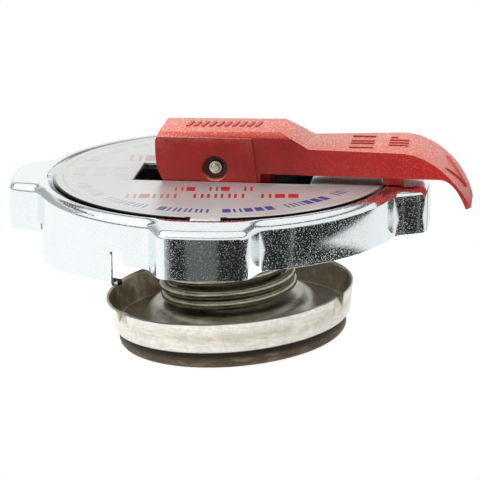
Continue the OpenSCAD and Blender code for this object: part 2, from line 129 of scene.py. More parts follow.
# Label disc and the recess that it lies in
LABEL_TOP = high_of("label_disc")[2]
LABEL_LOW = low_of("label_disc")[2]
LABEL_R = 30.6
LABEL_SHIFT = (0.15, 0.4)
LABEL_EDGE = 0.1
LABEL_TAB_R = high_of("label_disc")[0]
LABEL_TAB_HALF = 2.6
TAB_HALF_TURN = LABEL_TAB_HALF / LABEL_R
RECESS_R = 31.4
RECESS_EDGE_R = 0.15
SLOT_BACK = 15.0
SLOT_FRONT = 17.2
SLOT_HALF = 6.4

# Rings under the shell's top
GASKET_R = 28.5
GASKET_BORE = 23.5
GASKET_TOP = 1.5
DIAPHRAGM_R = 29.4
DIAPHRAGM_BORE = 5.2
DIAPHRAGM_TOP = 1.8

# How finely the shell and the label are divided
FACE_STEPS = 6
CORNER_STEPS = 10
FLANK_STEPS = 4
FILLET_STEPS = 9
SKIRT_STEPS = 20
RECESS_SHARES = (0, 0.3, 0.65, 0.97, 1)
RECESS_EDGE_ROWS = 4
LAND_SHARES = (0.25, 0.5, 0.75)
SHOULDER_ROWS = 12
WALL_ROWS = 6
NOTCH_COLUMNS = 4
NOTCH_ROUND_ROWS = 6
EAR_WALL_ROWS = 4
EAR_FOLD_ROWS = 8
EAR_LIP_ROWS = 3
LABEL_STEPS = 240
LABEL_SHARES = (0, 0.25, 0.5, 0.75, 0.96, 1)
TAB_CLEAR_TURN = 0.012
TAB_STEP_TURN = 0.003

# Angles past which edges are softened or kept sharp, in degrees
SHEET_BEVEL_DEG = 60
SHEET_SHARP_DEG = 50
TURNED_SHARP_DEG = 40
COPY_SHARP_DEG = 30
FLAT_DEG = 1

# How near to each other points are joined
POLE_REACH = 1e-4
COPY_REACH = 2e-3


# Meshes


def placed(name, data):
    """A new object in the scene, at the origin."""
    made = bpy.data.objects.new(name, data)
    bpy.context.scene.collection.objects.link(made)
    return made


def mesh_object(name, points, faces, edges=()):
    """A new object at the origin, with its points given in millimetres."""
    mesh = bpy.data.meshes.new(name)
    mesh.from_pydata([tuple(p) for p in np.asarray(points, float) * MM], edges, faces)
    return placed(name, mesh)


def plain_mesh(obj):
    """The mesh that an object's modifiers make."""
    bpy.context.view_layer.update()
    seen = obj.evaluated_get(bpy.context.evaluated_depsgraph_get())
    return bpy.data.meshes.new_from_object(seen)


def settle(obj, sharp_deg=TURNED_SHARP_DEG):
    """Turns an object with modifiers into a plain smooth mesh, with edges kept sharp past an angle."""
    mesh = plain_mesh(obj)
    obj.modifiers.clear()
    obj.data = mesh
    mesh.name = obj.name
    mesh.shade_smooth()
    mesh.set_sharp_from_angle(angle=math.radians(sharp_deg))
    return obj


def merge_points(mesh, reach, join_flats=False):
    """Joins points that lie together, and also faces that lie flat to each other where asked."""
    grid = bmesh.new()
    grid.from_mesh(mesh)
    bmesh.ops.remove_doubles(grid, verts=grid.verts, dist=reach * MM)
    if join_flats:
        bmesh.ops.dissolve_limit(
            grid, angle_limit=math.radians(FLAT_DEG), verts=grid.verts, edges=grid.edges)
    grid.to_mesh(mesh)
    grid.free()


def add_wall(obj, thickness):
    wall = obj.modifiers.new("wall", "SOLIDIFY")
    wall.thickness = thickness * MM
    wall.offset = -1
    wall.use_even_offset = True


def add_soft_edges(obj, width, segments, angle_deg):
    soft_edges = obj.modifiers.new("soft edges", "BEVEL")
    soft_edges.width = width * MM
    soft_edges.segments = segments
    soft_edges.limit_method = "ANGLE"
    soft_edges.angle_limit = math.radians(angle_deg)
    soft_edges.harden_normals = False


def upright(points):
    """A turned piece on the shell's own axis."""
    return points


def hung(points):
    """From the valve head's own frame, up from its seal's underside, to where it hangs."""
    x = points[:, 0]
    up = points[:, 2] - VALVE_L
    return np.column_stack([
        x * math.cos(LEAN) - up * math.sin(LEAN),
        points[:, 1],
        PIN_Z + x * math.sin(LEAN) + up * math.cos(LEAN),
    ])


def across(points):
    """A turned piece on the axis of the lever pin."""
    return np.column_stack([points[:, 0], -points[:, 2], PIN_Z + points[:, 1]])


def soft(outline, radius, steps=4):
    """A closed outline with its corners rounded, apart from those on the axis."""
    most = 0.45
    count = len(outline)
    rounded = []
    for i in range(count):
        here = np.array(outline[i], float)
        if here[0] < TINY:
            rounded.append(here)
            continue
        before = np.array(outline[i - 1], float) - here
        after = np.array(outline[(i + 1) % count], float) - here
        reach = min(radius, most * np.linalg.norm(before), most * np.linalg.norm(after))
        start = here + before / np.linalg.norm(before) * reach
        end = here + after / np.linalg.norm(after) * reach
        for t in np.linspace(0, 1, steps + 1):
            rounded.append((1 - t) ** 2 * start + 2 * t * (1 - t) * here + t ** 2 * end)
    return rounded


def arc(x, y, r, start_deg, end_deg, steps=6):
    turns = np.radians(np.linspace(start_deg, end_deg, steps + 1))
    return [(x + r * math.cos(a), y + r * math.sin(a)) for a in turns]


def ring(r_out, r_in, low, high):
    return [(r_in, low), (r_out, low), (r_out, high), (r_in, high)]


def turned(name, outline, place, steps=160, shape=None, extra_turns=()):
    """A closed outline of radius and height, anticlockwise, turned about an axis."""
    decimals = 5
    outline = np.array(outline, float)
    turns = np.linspace(0, WHOLE_TURN, steps, endpoint=False)
    turns = np.unique(np.round(np.concatenate([turns, np.mod(extra_turns, WHOLE_TURN)]), decimals))
    steps = len(turns)
    count = len(outline)
    points = np.array([
        (r * math.cos(a), r * math.sin(a), h) for a in turns for r, h in outline
    ])
    if shape is not None:
        points = shape(points)
    faces = []
    for j in range(steps):
        here, there = j * count, (j + 1) % steps * count
        for k in range(count):
            n = (k + 1) % count
            if outline[k][0] > TINY or outline[n][0] > TINY:
                faces.append((here + k, there + k, there + n, here + n))
    made = mesh_object(name, place(points), faces)
    merge_points(made.data, POLE_REACH)
    return settle(made)


def soft_copy(name, node, width):
    """A copy of a solid with its flat faces joined and its edges softened."""
    mesh = frame["nodes"][node].data.copy()
    mesh.materials.clear()
    merge_points(mesh, COPY_REACH, join_flats=True)
    made = placed(name, mesh)
    add_soft_edges(made, width, segments=3, angle_deg=COPY_SHARP_DEG)
    return settle(made, COPY_SHARP_DEG)


# Outline of the shell, seen from above


def ray_at(turn):
    return np.array([math.cos(turn), math.sin(turn)])


class LugOutline:
    """Half of a lug's outline: the face, a rounded corner, a slanted flank and a hollow root."""

    def __init__(self):
        root_r = math.sqrt(SKIRT_R ** 2 - LUG_ROOT_HALF ** 2)
        slant = math.atan2(LUG_ROOT_HALF - LUG_FACE_HALF, LUG_R - root_r)
        self.edge = np.array([LUG_R, LUG_FACE_HALF])
        self.out = np.array([math.sin(slant), math.cos(slant)])
        self.along = np.array([-math.cos(slant), math.sin(slant)])
        self.corner = self.centre(-LUG_CORNER_R, LUG_R - LUG_CORNER_R)
        self.root = self.centre(LUG_FILLET_R, SKIRT_R + LUG_FILLET_R)
        self.breaks = [self.angle(p) for p in (
            self.corner,
            self.corner + self.out * LUG_CORNER_R,
            self.root - self.out * LUG_FILLET_R,
            self.root,
        )]

    def centre(self, offset, radius):
        """The point at an offset from the flank and at a radius from the shell's axis."""
        base = self.edge + self.out * offset
        half = base @ self.along
        return base + self.along * (-half - math.sqrt(half ** 2 - base @ base + radius ** 2))

    @staticmethod
    def angle(point):
        return math.atan2(point[1], point[0])

    def radius(self, turn):
        """Radius of the outline at an angle from the middle of a lug."""
        ray = ray_at(turn)
        if turn < self.breaks[0]:
            return LUG_R
        if turn < self.breaks[1]:
            far = self.corner @ ray
            return far + math.sqrt(far ** 2 - self.corner @ self.corner + LUG_CORNER_R ** 2)
        if turn < self.breaks[2]:
            return (self.out @ self.edge) / (self.out @ ray)
        if turn < self.breaks[3]:
            far = self.root @ ray
            return far - math.sqrt(far ** 2 - self.root @ self.root + LUG_FILLET_R ** 2)
        return SKIRT_R


lug_outline = LugOutline()


def skirt_point(turn):
    return lug_outline.radius(abs(wrapped(turn - LUG_TURN, SECTOR))) * ray_at(turn)


def skirt_normal(turn):
    step = 1e-4
    ahead = skirt_point(turn + step) - skirt_point(turn - step)
    return np.array([ahead[1], -ahead[0]]) / np.linalg.norm(ahead)


def slot_edge(turn):
    """Distance from the axis to the edge of the lever's slot."""
    reach = SLOT_FRONT if math.cos(turn) > 0 else SLOT_BACK
    along = reach / max(abs(math.cos(turn)), TINY)
    beside = SLOT_HALF / max(abs(math.sin(turn)), TINY)
    return min(along, beside)


def slot_corners():
    front = math.atan2(SLOT_HALF, SLOT_FRONT)
    back = math.atan2(SLOT_HALF, SLOT_BACK)
    return [front, math.pi - back, math.pi + back, WHOLE_TURN - front]


# Shell: one pressed sheet from the lever's slot over the rim to the skirt and the ears


def rounding(distance, radius):
    """How far a quarter round has come in at a distance from its end."""
    gone = max(radius - distance, 0)
    return radius - math.sqrt(radius ** 2 - gone ** 2)


class EarEnd:
    """One end of a cam ear, with the relief notch beside it."""

    def __init__(self, middle, side):
        self.end = middle + side * EAR_HALF
        self.side = side

    def turn(self, distance):
        return self.end + self.side * distance / SKIRT_R

    def columns(self):
        """Angles of the columns of points from the ear to the skirt past the notch."""
        in_notch = np.linspace(NOTCH_CORNER_R, NOTCH_W - NOTCH_FLARE_R, NOTCH_COLUMNS)
        return [self.turn(d) for d in (-EAR_MARGIN, *in_notch, NOTCH_W + NOTCH_FLARE_R + NOTCH_MARGIN)]

    def edges(self):
        """Angles of the two columns that follow the notch's edges."""
        return self.columns()[1], self.columns()[NOTCH_COLUMNS]

    def ear_edge(self, z):
        return self.turn(rounding(NOTCH_TOP - z, NOTCH_CORNER_R))

    def skirt_edge(self, z):
        upper = rounding(NOTCH_TOP - z, NOTCH_FLARE_R)
        lower = rounding(z - SKIRT_LOW, NOTCH_FLARE_R)
        return self.turn(NOTCH_W - upper + lower)

    def holds(self, turn):
        """Whether an angle lies among this end's own columns."""
        first, last = sorted((self.columns()[0], self.columns()[-1]))
        return (turn - first) % WHOLE_TURN < last - first


def shell_columns():
    """Angles round the shell, close together where the outline bends."""
    breaks = [0, *lug_outline.breaks, SECTOR / 2]
    counts = (FACE_STEPS, CORNER_STEPS, FLANK_STEPS, FILLET_STEPS, SKIRT_STEPS)
    half = [breaks[0]]
    for start, end, count in zip(breaks, breaks[1:], counts):
        half += list(np.linspace(start, end, count + 1)[1:])
    turns = [LUG_TURN + i * SECTOR + side * a for i in range(LUG_COUNT) for side in (-1, 1) for a in half]
    turns += slot_corners()
    ends = [EarEnd(middle, side) for middle in EAR_MIDDLES for side in (-1, 1)]
    kept = [turn % WHOLE_TURN for turn in turns if not any(end.holds(turn) for end in ends)]
    kept += [turn % WHOLE_TURN for end in ends for turn in end.columns()]
    kept.sort()
    spaced = [kept[0]]
    for turn in kept[1:]:
        if turn - spaced[-1] > SAME_TURN:
            spaced.append(turn)
    return spaced, ends


def bow(z):
    """How far the skirt's wall has come in from its bulge at a height."""
    middle = (SHELL_TOP - SHOULDER_R + SKIRT_LOW) / 2
    return WALL_BOW * ((z - middle) / (middle - SKIRT_LOW)) ** 2


def top_line(turn):
    """Points from the slot's edge, over the rim, to the height of the notches' tops."""
    ray, edge, out = ray_at(turn), skirt_point(turn), skirt_normal(turn)
    hole = slot_edge(turn)
    shoulder_low = SHELL_TOP - SHOULDER_R
    line = [(ray * (hole + (RECESS_R - hole) * t), LABEL_LOW) for t in RECESS_SHARES]
    for a in np.linspace(math.pi, math.pi / 2, RECESS_EDGE_ROWS):
        r = RECESS_R + RECESS_EDGE_R + RECESS_EDGE_R * math.cos(a)
        line.append((ray * r, SHELL_TOP - RECESS_EDGE_R + RECESS_EDGE_R * math.sin(a)))
    flat_from, flat_to = line[-1][0], edge - out * SHOULDER_R
    fall = LAND_SLOPE * np.linalg.norm(flat_to - flat_from)
    line += [(flat_from + (flat_to - flat_from) * t, SHELL_TOP - fall * t) for t in LAND_SHARES]
    for a in np.linspace(math.pi / 2, 0, SHOULDER_ROWS):
        inset = SHOULDER_R * (1 - math.cos(a)) + WALL_BOW
        line.append((edge - out * inset, shoulder_low + (SHOULDER_R - fall) * math.sin(a)))
    return line + [(edge - out * bow(z), z) for z in np.linspace(shoulder_low, NOTCH_TOP, WALL_ROWS + 1)[1:]]


def ear_line(from_ear):
    """Radius and height down an ear's wall, round its fold and in along its sloped lip."""

    def lip_height(r):
        return EAR_LOW + EAR_SLOPE * r * math.sin(from_ear)

    wall_r = SKIRT_R - WALL_BOW
    fold_r = wall_r - SHOULDER_R
    wall_low = lip_height(SKIRT_R) + SHOULDER_R
    lip_in = LIP_R + rounding((EAR_HALF - abs(from_ear)) * SKIRT_R, LIP_CORNER_R)
    line = [(wall_r, z) for z in np.linspace(SKIRT_LOW, wall_low, EAR_WALL_ROWS + 1)[1:]]
    for a in np.linspace(0, math.pi / 2, EAR_FOLD_ROWS + 1)[1:]:
        r = fold_r + SHOULDER_R * math.cos(a)
        line.append((r, lip_height(r) + SHOULDER_R * (1 - math.sin(a))))
    return line + [(r, lip_height(r)) for r in np.linspace(fold_r, lip_in, EAR_LIP_ROWS + 1)[1:]]


class ShellSkin:
    """The pressed sheet's outer skin: points kept by row and column, and the faces between them."""

    def __init__(self):
        self.turns, self.ends = shell_columns()
        self.count = len(self.turns)
        self.points = []
        self.faces = []
        self.place = {}

    def put(self, row, column, xy, z):
        self.place[row, column] = len(self.points)
        self.points.append((xy[0], xy[1], z))

    def cover(self, rows, columns):
        """Faces from row to row, each between a column and the next."""
        for row, below in zip(rows, rows[1:]):
            for column in columns:
                right = (column + 1) % self.count
                corners = ((row, column), (below, column), (below, right), (row, right))
                self.faces.append(tuple(self.place[corner] for corner in corners))

    def shifted(self, column, z):
        """Angle of a column at a height: the columns beside a notch follow its rounded edge."""
        for end in self.ends:
            at_ear, at_skirt = (abs(wrapped(self.turns[column] - edge)) for edge in end.edges())
            if at_ear < SAME_TURN:
                return end.ear_edge(z)
            if at_skirt < SAME_TURN:
                return end.skirt_edge(z)
        return self.turns[column]

    def within(self, middle, half):
        """The columns whose faces lie within an angle of a middle line."""
        ahead = self.turns[1:] + [self.turns[0] + WHOLE_TURN]
        halfway = [(turn + following) / 2 for turn, following in zip(self.turns, ahead)]
        return [column for column, turn in enumerate(halfway) if abs(wrapped(turn - middle)) < half]

    def lay_top(self):
        """Rows from the slot's edge to the top of the notches; returns the last row."""
        for column, turn in enumerate(self.turns):
            line = top_line(turn)
            for row, (xy, z) in enumerate(line):
                self.put(row, column, xy, z)
        self.cover(range(len(line)), range(self.count))
        return len(line) - 1

    def lay_skirt(self, notch_row):
        """Rows from the top of the notches to the skirt's lower edge; returns the last row."""
        bends = NOTCH_FLARE_R * (1 - np.cos(np.linspace(0, math.pi / 2, NOTCH_ROUND_ROWS)))
        heights = np.concatenate([NOTCH_TOP - bends, (SKIRT_LOW + bends)[::-1]])
        rows = range(notch_row, notch_row + len(heights))
        for row, z in zip(rows[1:], heights[1:]):
            for column in range(self.count):
                turn = self.shifted(column, z)
                self.put(row, column, skirt_point(turn) - skirt_normal(turn) * bow(z), z)
        notched = set()
        for end in self.ends:
            first, last = sorted(end.edges())
            notched.update(self.within((first + last) / 2, (last - first) / 2))
        self.cover(rows, [column for column in range(self.count) if column not in notched])
        return rows[-1]

    def lay_ear(self, middle, edge_row):
        """An ear from the skirt's lower edge to the end of its lip."""
        columns = self.within(middle, EAR_HALF + NOTCH_CORNER_R / SKIRT_R)
        rows = range(edge_row, edge_row + 1 + EAR_WALL_ROWS + EAR_FOLD_ROWS + EAR_LIP_ROWS)
        for column in sorted(set(columns) | {(c + 1) % self.count for c in columns}):
            turn = self.shifted(column, SKIRT_LOW)
            for row, (r, z) in zip(rows[1:], ear_line(wrapped(turn - middle))):
                self.put(row, column, ray_at(turn) * r, z)
        self.cover(rows, columns)


def make_shell():
    skin = ShellSkin()
    notch_row = skin.lay_top()
    edge_row = skin.lay_skirt(notch_row)
    for middle in EAR_MIDDLES:
        skin.lay_ear(middle, edge_row)
    used = sorted({i for face in skin.faces for i in face})
    index = {old: new for new, old in enumerate(used)}
    faces = [tuple(index[i] for i in face) for face in skin.faces]
    made = mesh_object("cap_shell", [skin.points[i] for i in used], faces)
    add_wall(made, SHELL_T)
    add_soft_edges(made, SHELL_EDGE, segments=3, angle_deg=SHEET_BEVEL_DEG)
    return settle(made, SHEET_SHARP_DEG)


def label_reach(turn):
    """Distance from the axis to the label's edge, which lies a little off the shell's middle."""
    if abs(wrapped(turn - LUG_TURN, SECTOR)) < TAB_HALF_TURN:
        return LABEL_TAB_R
    return LABEL_R + LABEL_SHIFT[0] * math.cos(turn) + LABEL_SHIFT[1] * math.sin(turn)


def make_label():
    """The printed disc: flat, with softened edges, four locating tabs and the lever's slot."""
    turns = list(np.linspace(0, WHOLE_TURN, LABEL_STEPS, endpoint=False)) + slot_corners()
    for i in range(LUG_COUNT):
        middle = LUG_TURN + i * SECTOR
        turns = [t for t in turns if abs(abs(wrapped(t - middle)) - TAB_HALF_TURN) > TAB_CLEAR_TURN]
        for beside in (TAB_HALF_TURN - TAB_STEP_TURN, TAB_HALF_TURN + TAB_STEP_TURN):
            turns += [(middle + side * beside) % WHOLE_TURN for side in (-1, 1)]
    turns.sort()
    points = []
    for turn in turns:
        start, end = slot_edge(turn), label_reach(turn)
        for t in LABEL_SHARES:
            r = start + (end - start) * t
            points.append((r * math.cos(turn), r * math.sin(turn), LABEL_TOP))
    rows, count = len(LABEL_SHARES), len(turns)
    faces = []
    for j in range(count):
        here, there = j * rows, (j + 1) % count * rows
        faces += [(here + k, here + k + 1, there + k + 1, there + k) for k in range(rows - 1)]
    made = mesh_object("printed_label", points, faces)
    add_wall(made, LABEL_TOP - LABEL_LOW)
    add_soft_edges(made, LABEL_EDGE, segments=2, angle_deg=SHEET_BEVEL_DEG)
    return settle(made, SHEET_SHARP_DEG)


# Valve head, in its own frame

SEAL_T = 3.1
SEAL_R = 21.1
SEAL_BORE = 11.8
SEAL_LIP_R = 15.4
SEAL_STEP = 1.2
SEAL_ROUND = 1.2
SEAL_SIDE = (1.5, 1.8, 2.1, 2.4)
SEAL_SHADE_LOW = 1.5
SEAL_SHADE_RISE = 0.8
CUP_FLOOR_R = 22.0
CUP_RIM_R = 22.9
CUP_RIM = SEAL_T + 5.8
CUP_T = 0.5
CUP_EDGE = 0.15
CUP_KNEE = 0.8
CUP_WALL_SHARES = np.linspace(0.15, 0.9, 9)
SEAT_R = 14.3
SEAT_FOOT_R = 17.1
SEAT_LOW = SEAL_T + 3.7
SEAT_TOP = SEAT_LOW + CUP_T
SEAT_BEND_OUT = 1.2
SEAT_BEND_IN = 1.6
SEAT_SLOPE = 0.25
SEAT_RUN = 3
CRIMPS = [math.radians(120 * i - 142) for i in range(3)]
CRIMP_HALF = 1.6
CRIMP_ROOT = CUP_RIM - 2.3
CRIMP_TOP = CUP_RIM - 0.5
CRIMP_IN = 1.0
CRIMP_WALL_R = CUP_FLOOR_R - 1
SLIT_HALF = 0.05
SLIT_SHADE_HALF = 0.12
SLIT_SHADE_LOW = CRIMP_ROOT - 0.3
EYELET_R = 2.6
EYELET_BORE = 1.7
EYELET_FLANGE_R = 3.6
EYELET_FLANGE_T = 0.5
EYELET_FIT = 0.05
PLATE_T = 0.6
PLATE_R = 11.4
PLATE_FLANGE_R = 15.0
PLATE_LOW = 0.6
EYELET_LOW = SEAT_LOW - PLATE_T - EYELET_FLANGE_T
EYELET_TOP = SEAT_TOP + EYELET_FLANGE_T
FLAP_R = 6
FLAP_TOP = EYELET_LOW - 0.2
FLAP_LOW = FLAP_TOP - 0.8
CLIP_R = 3
CLIP_LOW = EYELET_TOP + 5.2
CLIP_TOP = CLIP_LOW + 0.8
STEM_R = 1.0
STEM_LOW = FLAP_LOW - 0.5
STEM_TOP = CLIP_TOP + 0.6
SLEEVE_R = 9.6
SLEEVE_T = 0.6
SLEEVE_BORE = 6.9
SLEEVE_TOP = SEAT_TOP + 9.9

# Shares of painted shade in the cup's finish, which brings in its stained tone: on faces that look inwards or up,
# at the cuts and in a soft band on its wall
FACING_LIMIT = 0.3
INSIDE_DARK = 1.0
INSIDE_PALER = 0.4
FLOOR_DARK = 0.6
FLOOR_PALER = 0.5
BAND_DARK = 0.55
BAND_MIDDLE = SEAL_T + 3.0
BAND_HALF = 1.9
BAND_TURN = -1.2


def open_bend(outline, radius):
    """A rounded line through inner corners, without the outer halves of its two ends."""
    dropped = 3
    return soft(outline, radius)[dropped:-dropped]


def cup_outline():
    foot = SEAL_T + CUP_KNEE
    flare_r = CUP_RIM_R - CUP_FLOOR_R
    flare = math.degrees(math.atan2(flare_r, CUP_RIM - foot))
    bore = EYELET_R + EYELET_FIT
    knee_r = CUP_FLOOR_R - CUP_KNEE
    rim_in = CUP_RIM_R - CUP_T
    floor_top = SEAL_T + CUP_T
    under = open_bend([
        (bore, SEAT_LOW), (SEAT_R, SEAT_LOW), (SEAT_FOOT_R, SEAL_T), (SEAT_FOOT_R + SEAT_RUN, SEAL_T),
    ], SEAT_BEND_OUT)
    over = open_bend([
        (SEAT_FOOT_R + SEAT_SLOPE + SEAT_RUN, floor_top), (SEAT_FOOT_R + SEAT_SLOPE, floor_top),
        (SEAT_R + SEAT_SLOPE, SEAT_TOP), (bore, SEAT_TOP),
    ], SEAT_BEND_IN)
    climb = [(CUP_FLOOR_R + flare_r * t, foot + (CUP_RIM - foot) * t) for t in CUP_WALL_SHARES]
    return [
        (bore, SEAT_LOW), *under, *arc(knee_r, foot, CUP_KNEE, -90, -flare), *climb,
        (CUP_RIM_R, CUP_RIM - CUP_EDGE), (CUP_RIM_R - CUP_EDGE, CUP_RIM),
        (rim_in + CUP_EDGE, CUP_RIM), (rim_in, CUP_RIM - CUP_EDGE),
        *[(r - CUP_T, h) for r, h in climb[::-1]],
        *arc(knee_r, foot, CUP_KNEE - CUP_T, -flare, -90), *over, (bore, SEAT_TOP),
    ]


def crimped(points):
    """Presses the tabs at the cup's rim inwards."""
    moved = points.copy()
    for i, (x, y, h) in enumerate(points):
        r = math.hypot(x, y)
        if h < CRIMP_ROOT or r < CRIMP_WALL_R:
            continue
        turn = math.atan2(y, x)
        if min(abs(wrapped(turn - crimp)) for crimp in CRIMPS) * r < CRIMP_HALF:
            lean = CRIMP_IN * (h - CRIMP_ROOT) / (CUP_RIM - CRIMP_ROOT)
            moved[i, :2] *= (r - lean) / r
            moved[i, 2] = min(h, CRIMP_TOP)
    return moved


def mark(obj, name, share):
    """Stores a share from 0 to 1 on a hung piece's points.

    The share goes by a point's height and turn, and by how far it faces up and outwards.
    """
    foot, head = hung(np.array([[0, 0, 0], [0, 0, 1]]))
    up = Vector(head - foot)
    marked = obj.data.attributes.new(name, "FLOAT", "POINT")
    for vertex in obj.data.vertices:
        from_foot = vertex.co / MM - Vector(foot)
        height = from_foot.dot(up)
        outward = (from_foot - up * height).normalized()
        turn = math.atan2(outward.y, outward.x)
        facing = vertex.normal.dot(up), vertex.normal.dot(outward)
        marked.data[vertex.index].value = share(height, turn, *facing)


def at_slit(height, turn):
    """Whether a point lies at the cut beside a pressed-in tab."""
    from_cuts = [abs(abs(wrapped(turn - crimp)) * CUP_RIM_R - CRIMP_HALF) for crimp in CRIMPS]
    return height > SLIT_SHADE_LOW and min(from_cuts) < SLIT_SHADE_HALF


def cup_shade(height, turn, up, out):
    """Painted shade inside the cup and at the cuts, less of it on its floor and to the right, with a band of
    painted shade on its wall.
    """
    paler = max(math.cos(turn), 0.0)
    # Painted shade in the cuts, inside, on the floor and in a band on the wall; less to the right
    if at_slit(height, turn):
        return INSIDE_DARK
    if out < -FACING_LIMIT:
        return INSIDE_DARK - INSIDE_PALER * paler
    if up > FACING_LIMIT:
        return FLOOR_DARK - FLOOR_PALER * paler
    in_band = max(1 - abs(height - BAND_MIDDLE) / BAND_HALF, 0.0)
    return BAND_DARK * in_band * max(math.cos(turn - BAND_TURN), 0.0)


def seal_shade(height, turn, up, out):
    """Painted shade at the seal's upper edge, where the cup overhangs it."""
    return min(max((height - SEAL_SHADE_LOW) / SEAL_SHADE_RISE, 0.0), 1.0)


def make_cup():
    """The pressed cup, with its points marked for painted shade, which takes a darker stained tone."""
    beside = [side * (CRIMP_HALF + d) / CUP_RIM_R for side in (-1, 1) for d in (-SLIT_HALF, SLIT_HALF)]
    cuts = [crimp + turn for crimp in CRIMPS for turn in beside]
    cup = turned("pressed_cup", cup_outline(), hung, steps=240, shape=crimped, extra_turns=cuts)
    mark(cup, "inside", cup_shade)
    return cup


def make_seal():
    """The rubber seal, with its upper edge marked for painted shade."""
    outline = [
        (SEAL_BORE, SEAL_STEP), (SEAL_LIP_R, SEAL_STEP), (SEAL_LIP_R, 0),
        *arc(SEAL_R - SEAL_ROUND, SEAL_ROUND, SEAL_ROUND, -90, 0),
        *[(SEAL_R, h) for h in SEAL_SIDE], (SEAL_R, SEAL_T), (SEAL_BORE, SEAL_T),
    ]
    seal = turned("rubber_seal", soft(outline, radius=0.3), hung, steps=200)
    mark(seal, "upper", seal_shade)
    return seal


def make_valve_pieces():
    """The turned pieces of the valve head, by the node that each stands for."""
    plate_bore = EYELET_R + EYELET_FIT
    plate_in = PLATE_R - PLATE_T
    plate_top = PLATE_LOW + PLATE_T
    plate = [
        (PLATE_FLANGE_R, PLATE_LOW), (PLATE_FLANGE_R, plate_top), (PLATE_R, plate_top),
        (PLATE_R, SEAT_LOW), (plate_bore, SEAT_LOW), (plate_bore, SEAT_LOW - PLATE_T),
        (plate_in, SEAT_LOW - PLATE_T), (plate_in, PLATE_LOW),
    ]
    eyelet = [
        (EYELET_FLANGE_R, EYELET_LOW), (EYELET_FLANGE_R, EYELET_LOW + EYELET_FLANGE_T),
        (EYELET_R, EYELET_LOW + EYELET_FLANGE_T), (EYELET_R, SEAT_TOP), (EYELET_FLANGE_R, SEAT_TOP),
        (EYELET_FLANGE_R, EYELET_TOP), (EYELET_BORE, EYELET_TOP), (EYELET_BORE, EYELET_LOW),
    ]
    stem = [
        (0, STEM_LOW), (2 * STEM_R, STEM_LOW), (2 * STEM_R, FLAP_LOW), (STEM_R, FLAP_LOW),
        (STEM_R, STEM_TOP), (0, STEM_TOP),
    ]
    sleeve_in = SLEEVE_R - SLEEVE_T
    sleeve_floor = SEAT_TOP + SLEEVE_T
    sleeve = [
        (SLEEVE_R, SEAT_TOP), (SLEEVE_R, SLEEVE_TOP), (sleeve_in, SLEEVE_TOP),
        (sleeve_in, sleeve_floor), (SLEEVE_BORE, sleeve_floor), (SLEEVE_BORE, SEAT_TOP),
    ]
    flap = ring(FLAP_R, STEM_R, FLAP_LOW, FLAP_TOP)
    clip = ring(CLIP_R, STEM_R, CLIP_LOW, CLIP_TOP)
    return {
        "valve_cup": make_cup(),
        "pressure_seal": make_seal(),
        "seal_plate": turned("dished_plate", soft(plate, radius=0.25), hung),
        "eyelet": turned("brass_eyelet", soft(eyelet, radius=0.15), hung, steps=96),
        "vacuum_disc": turned("vacuum_flap", soft(flap, radius=0.2), hung, steps=96),
        "vacuum_stem": turned("vacuum_rod", soft(stem, radius=0.2), hung, steps=64),
        "spring_clip": turned("round_clip", soft(clip, radius=0.2), hung, steps=64),
        "spring_sleeve": turned("inner_sleeve", soft(sleeve, radius=0.2), hung, steps=128),
    }


def make_cap_rings():
    """The rings under the shell's top, by the node that each stands for."""
    gasket = ring(GASKET_R, GASKET_BORE, 0, GASKET_TOP)
    diaphragm = ring(DIAPHRAGM_R, DIAPHRAGM_BORE, GASKET_TOP, DIAPHRAGM_TOP)
    return {
        "neck_gasket": turned("neck_ring", soft(gasket, radius=0.35), upright, steps=192),
        "diaphragm": turned("spring_disc", soft(diaphragm, radius=0.1), upright, steps=192),
    }


def make_pin():
    """The lever pin, with a narrower tip at each end."""
    pin_r, tip_r = 1.18, 0.71
    pin_half, tip_half = 5.3, 5.8
    outline = [
        (0, -tip_half), (tip_r, -tip_half), (tip_r, -pin_half), (pin_r, -pin_half),
        (pin_r, pin_half), (tip_r, pin_half), (tip_r, tip_half), (0, tip_half),
    ]
    return turned("hinge_pin", soft(outline, radius=0.18), across, steps=64)


# Node trees

NUMBER = "NodeSocketFloat"
WHOLE_NUMBER = "NodeSocketInt"
VECTOR = "NodeSocketVector"
GEOMETRY = "NodeSocketGeometry"
OBJECT = "NodeSocketObject"
MATERIAL = "NodeSocketMaterial"


def numbers(*names):
    return [(name, NUMBER) for name in names]


def add_node(tree, kind, inputs=(), **settings):
    """A new node with its settings, and its inputs set to values or linked to sockets."""
    made = tree.nodes.new(kind)
    for key, value in settings.items():
        setattr(made, key, value)
    for key, value in dict(inputs).items():
        socket = made.inputs[key]
        if isinstance(value, bpy.types.NodeSocket):
            tree.links.new(value, socket)
        else:
            socket.default_value = value
    return made


def maths(tree, operation, *values):
    return add_node(tree, "ShaderNodeMath", enumerate(values), operation=operation).outputs[0]


def times(tree, *values):
    """The product of several values."""
    return functools.reduce(lambda first, second: maths(tree, "MULTIPLY", first, second), values)


def largest(tree, *values):
    """The largest of several values."""
    return functools.reduce(lambda first, second: maths(tree, "MAXIMUM", first, second), values)


def diagonal(tree, a, b):
    """Length of a line from its two legs."""
    return maths(tree, "SQRT", maths(tree, "MULTIPLY_ADD", a, a, maths(tree, "MULTIPLY", b, b)))


def split(tree, vector):
    return add_node(tree, "ShaderNodeSeparateXYZ", {0: vector}).outputs


def mapped(tree, value, from_low, from_high, to_low=0.0, to_high=1.0, ease="LINEAR"):
    """A value carried from one range to another, and kept within it."""
    return add_node(tree, "ShaderNodeMapRange", {
        "Value": value, "From Min": from_low, "From Max": from_high, "To Min": to_low, "To Max": to_high,
    }, interpolation_type=ease).outputs[0]


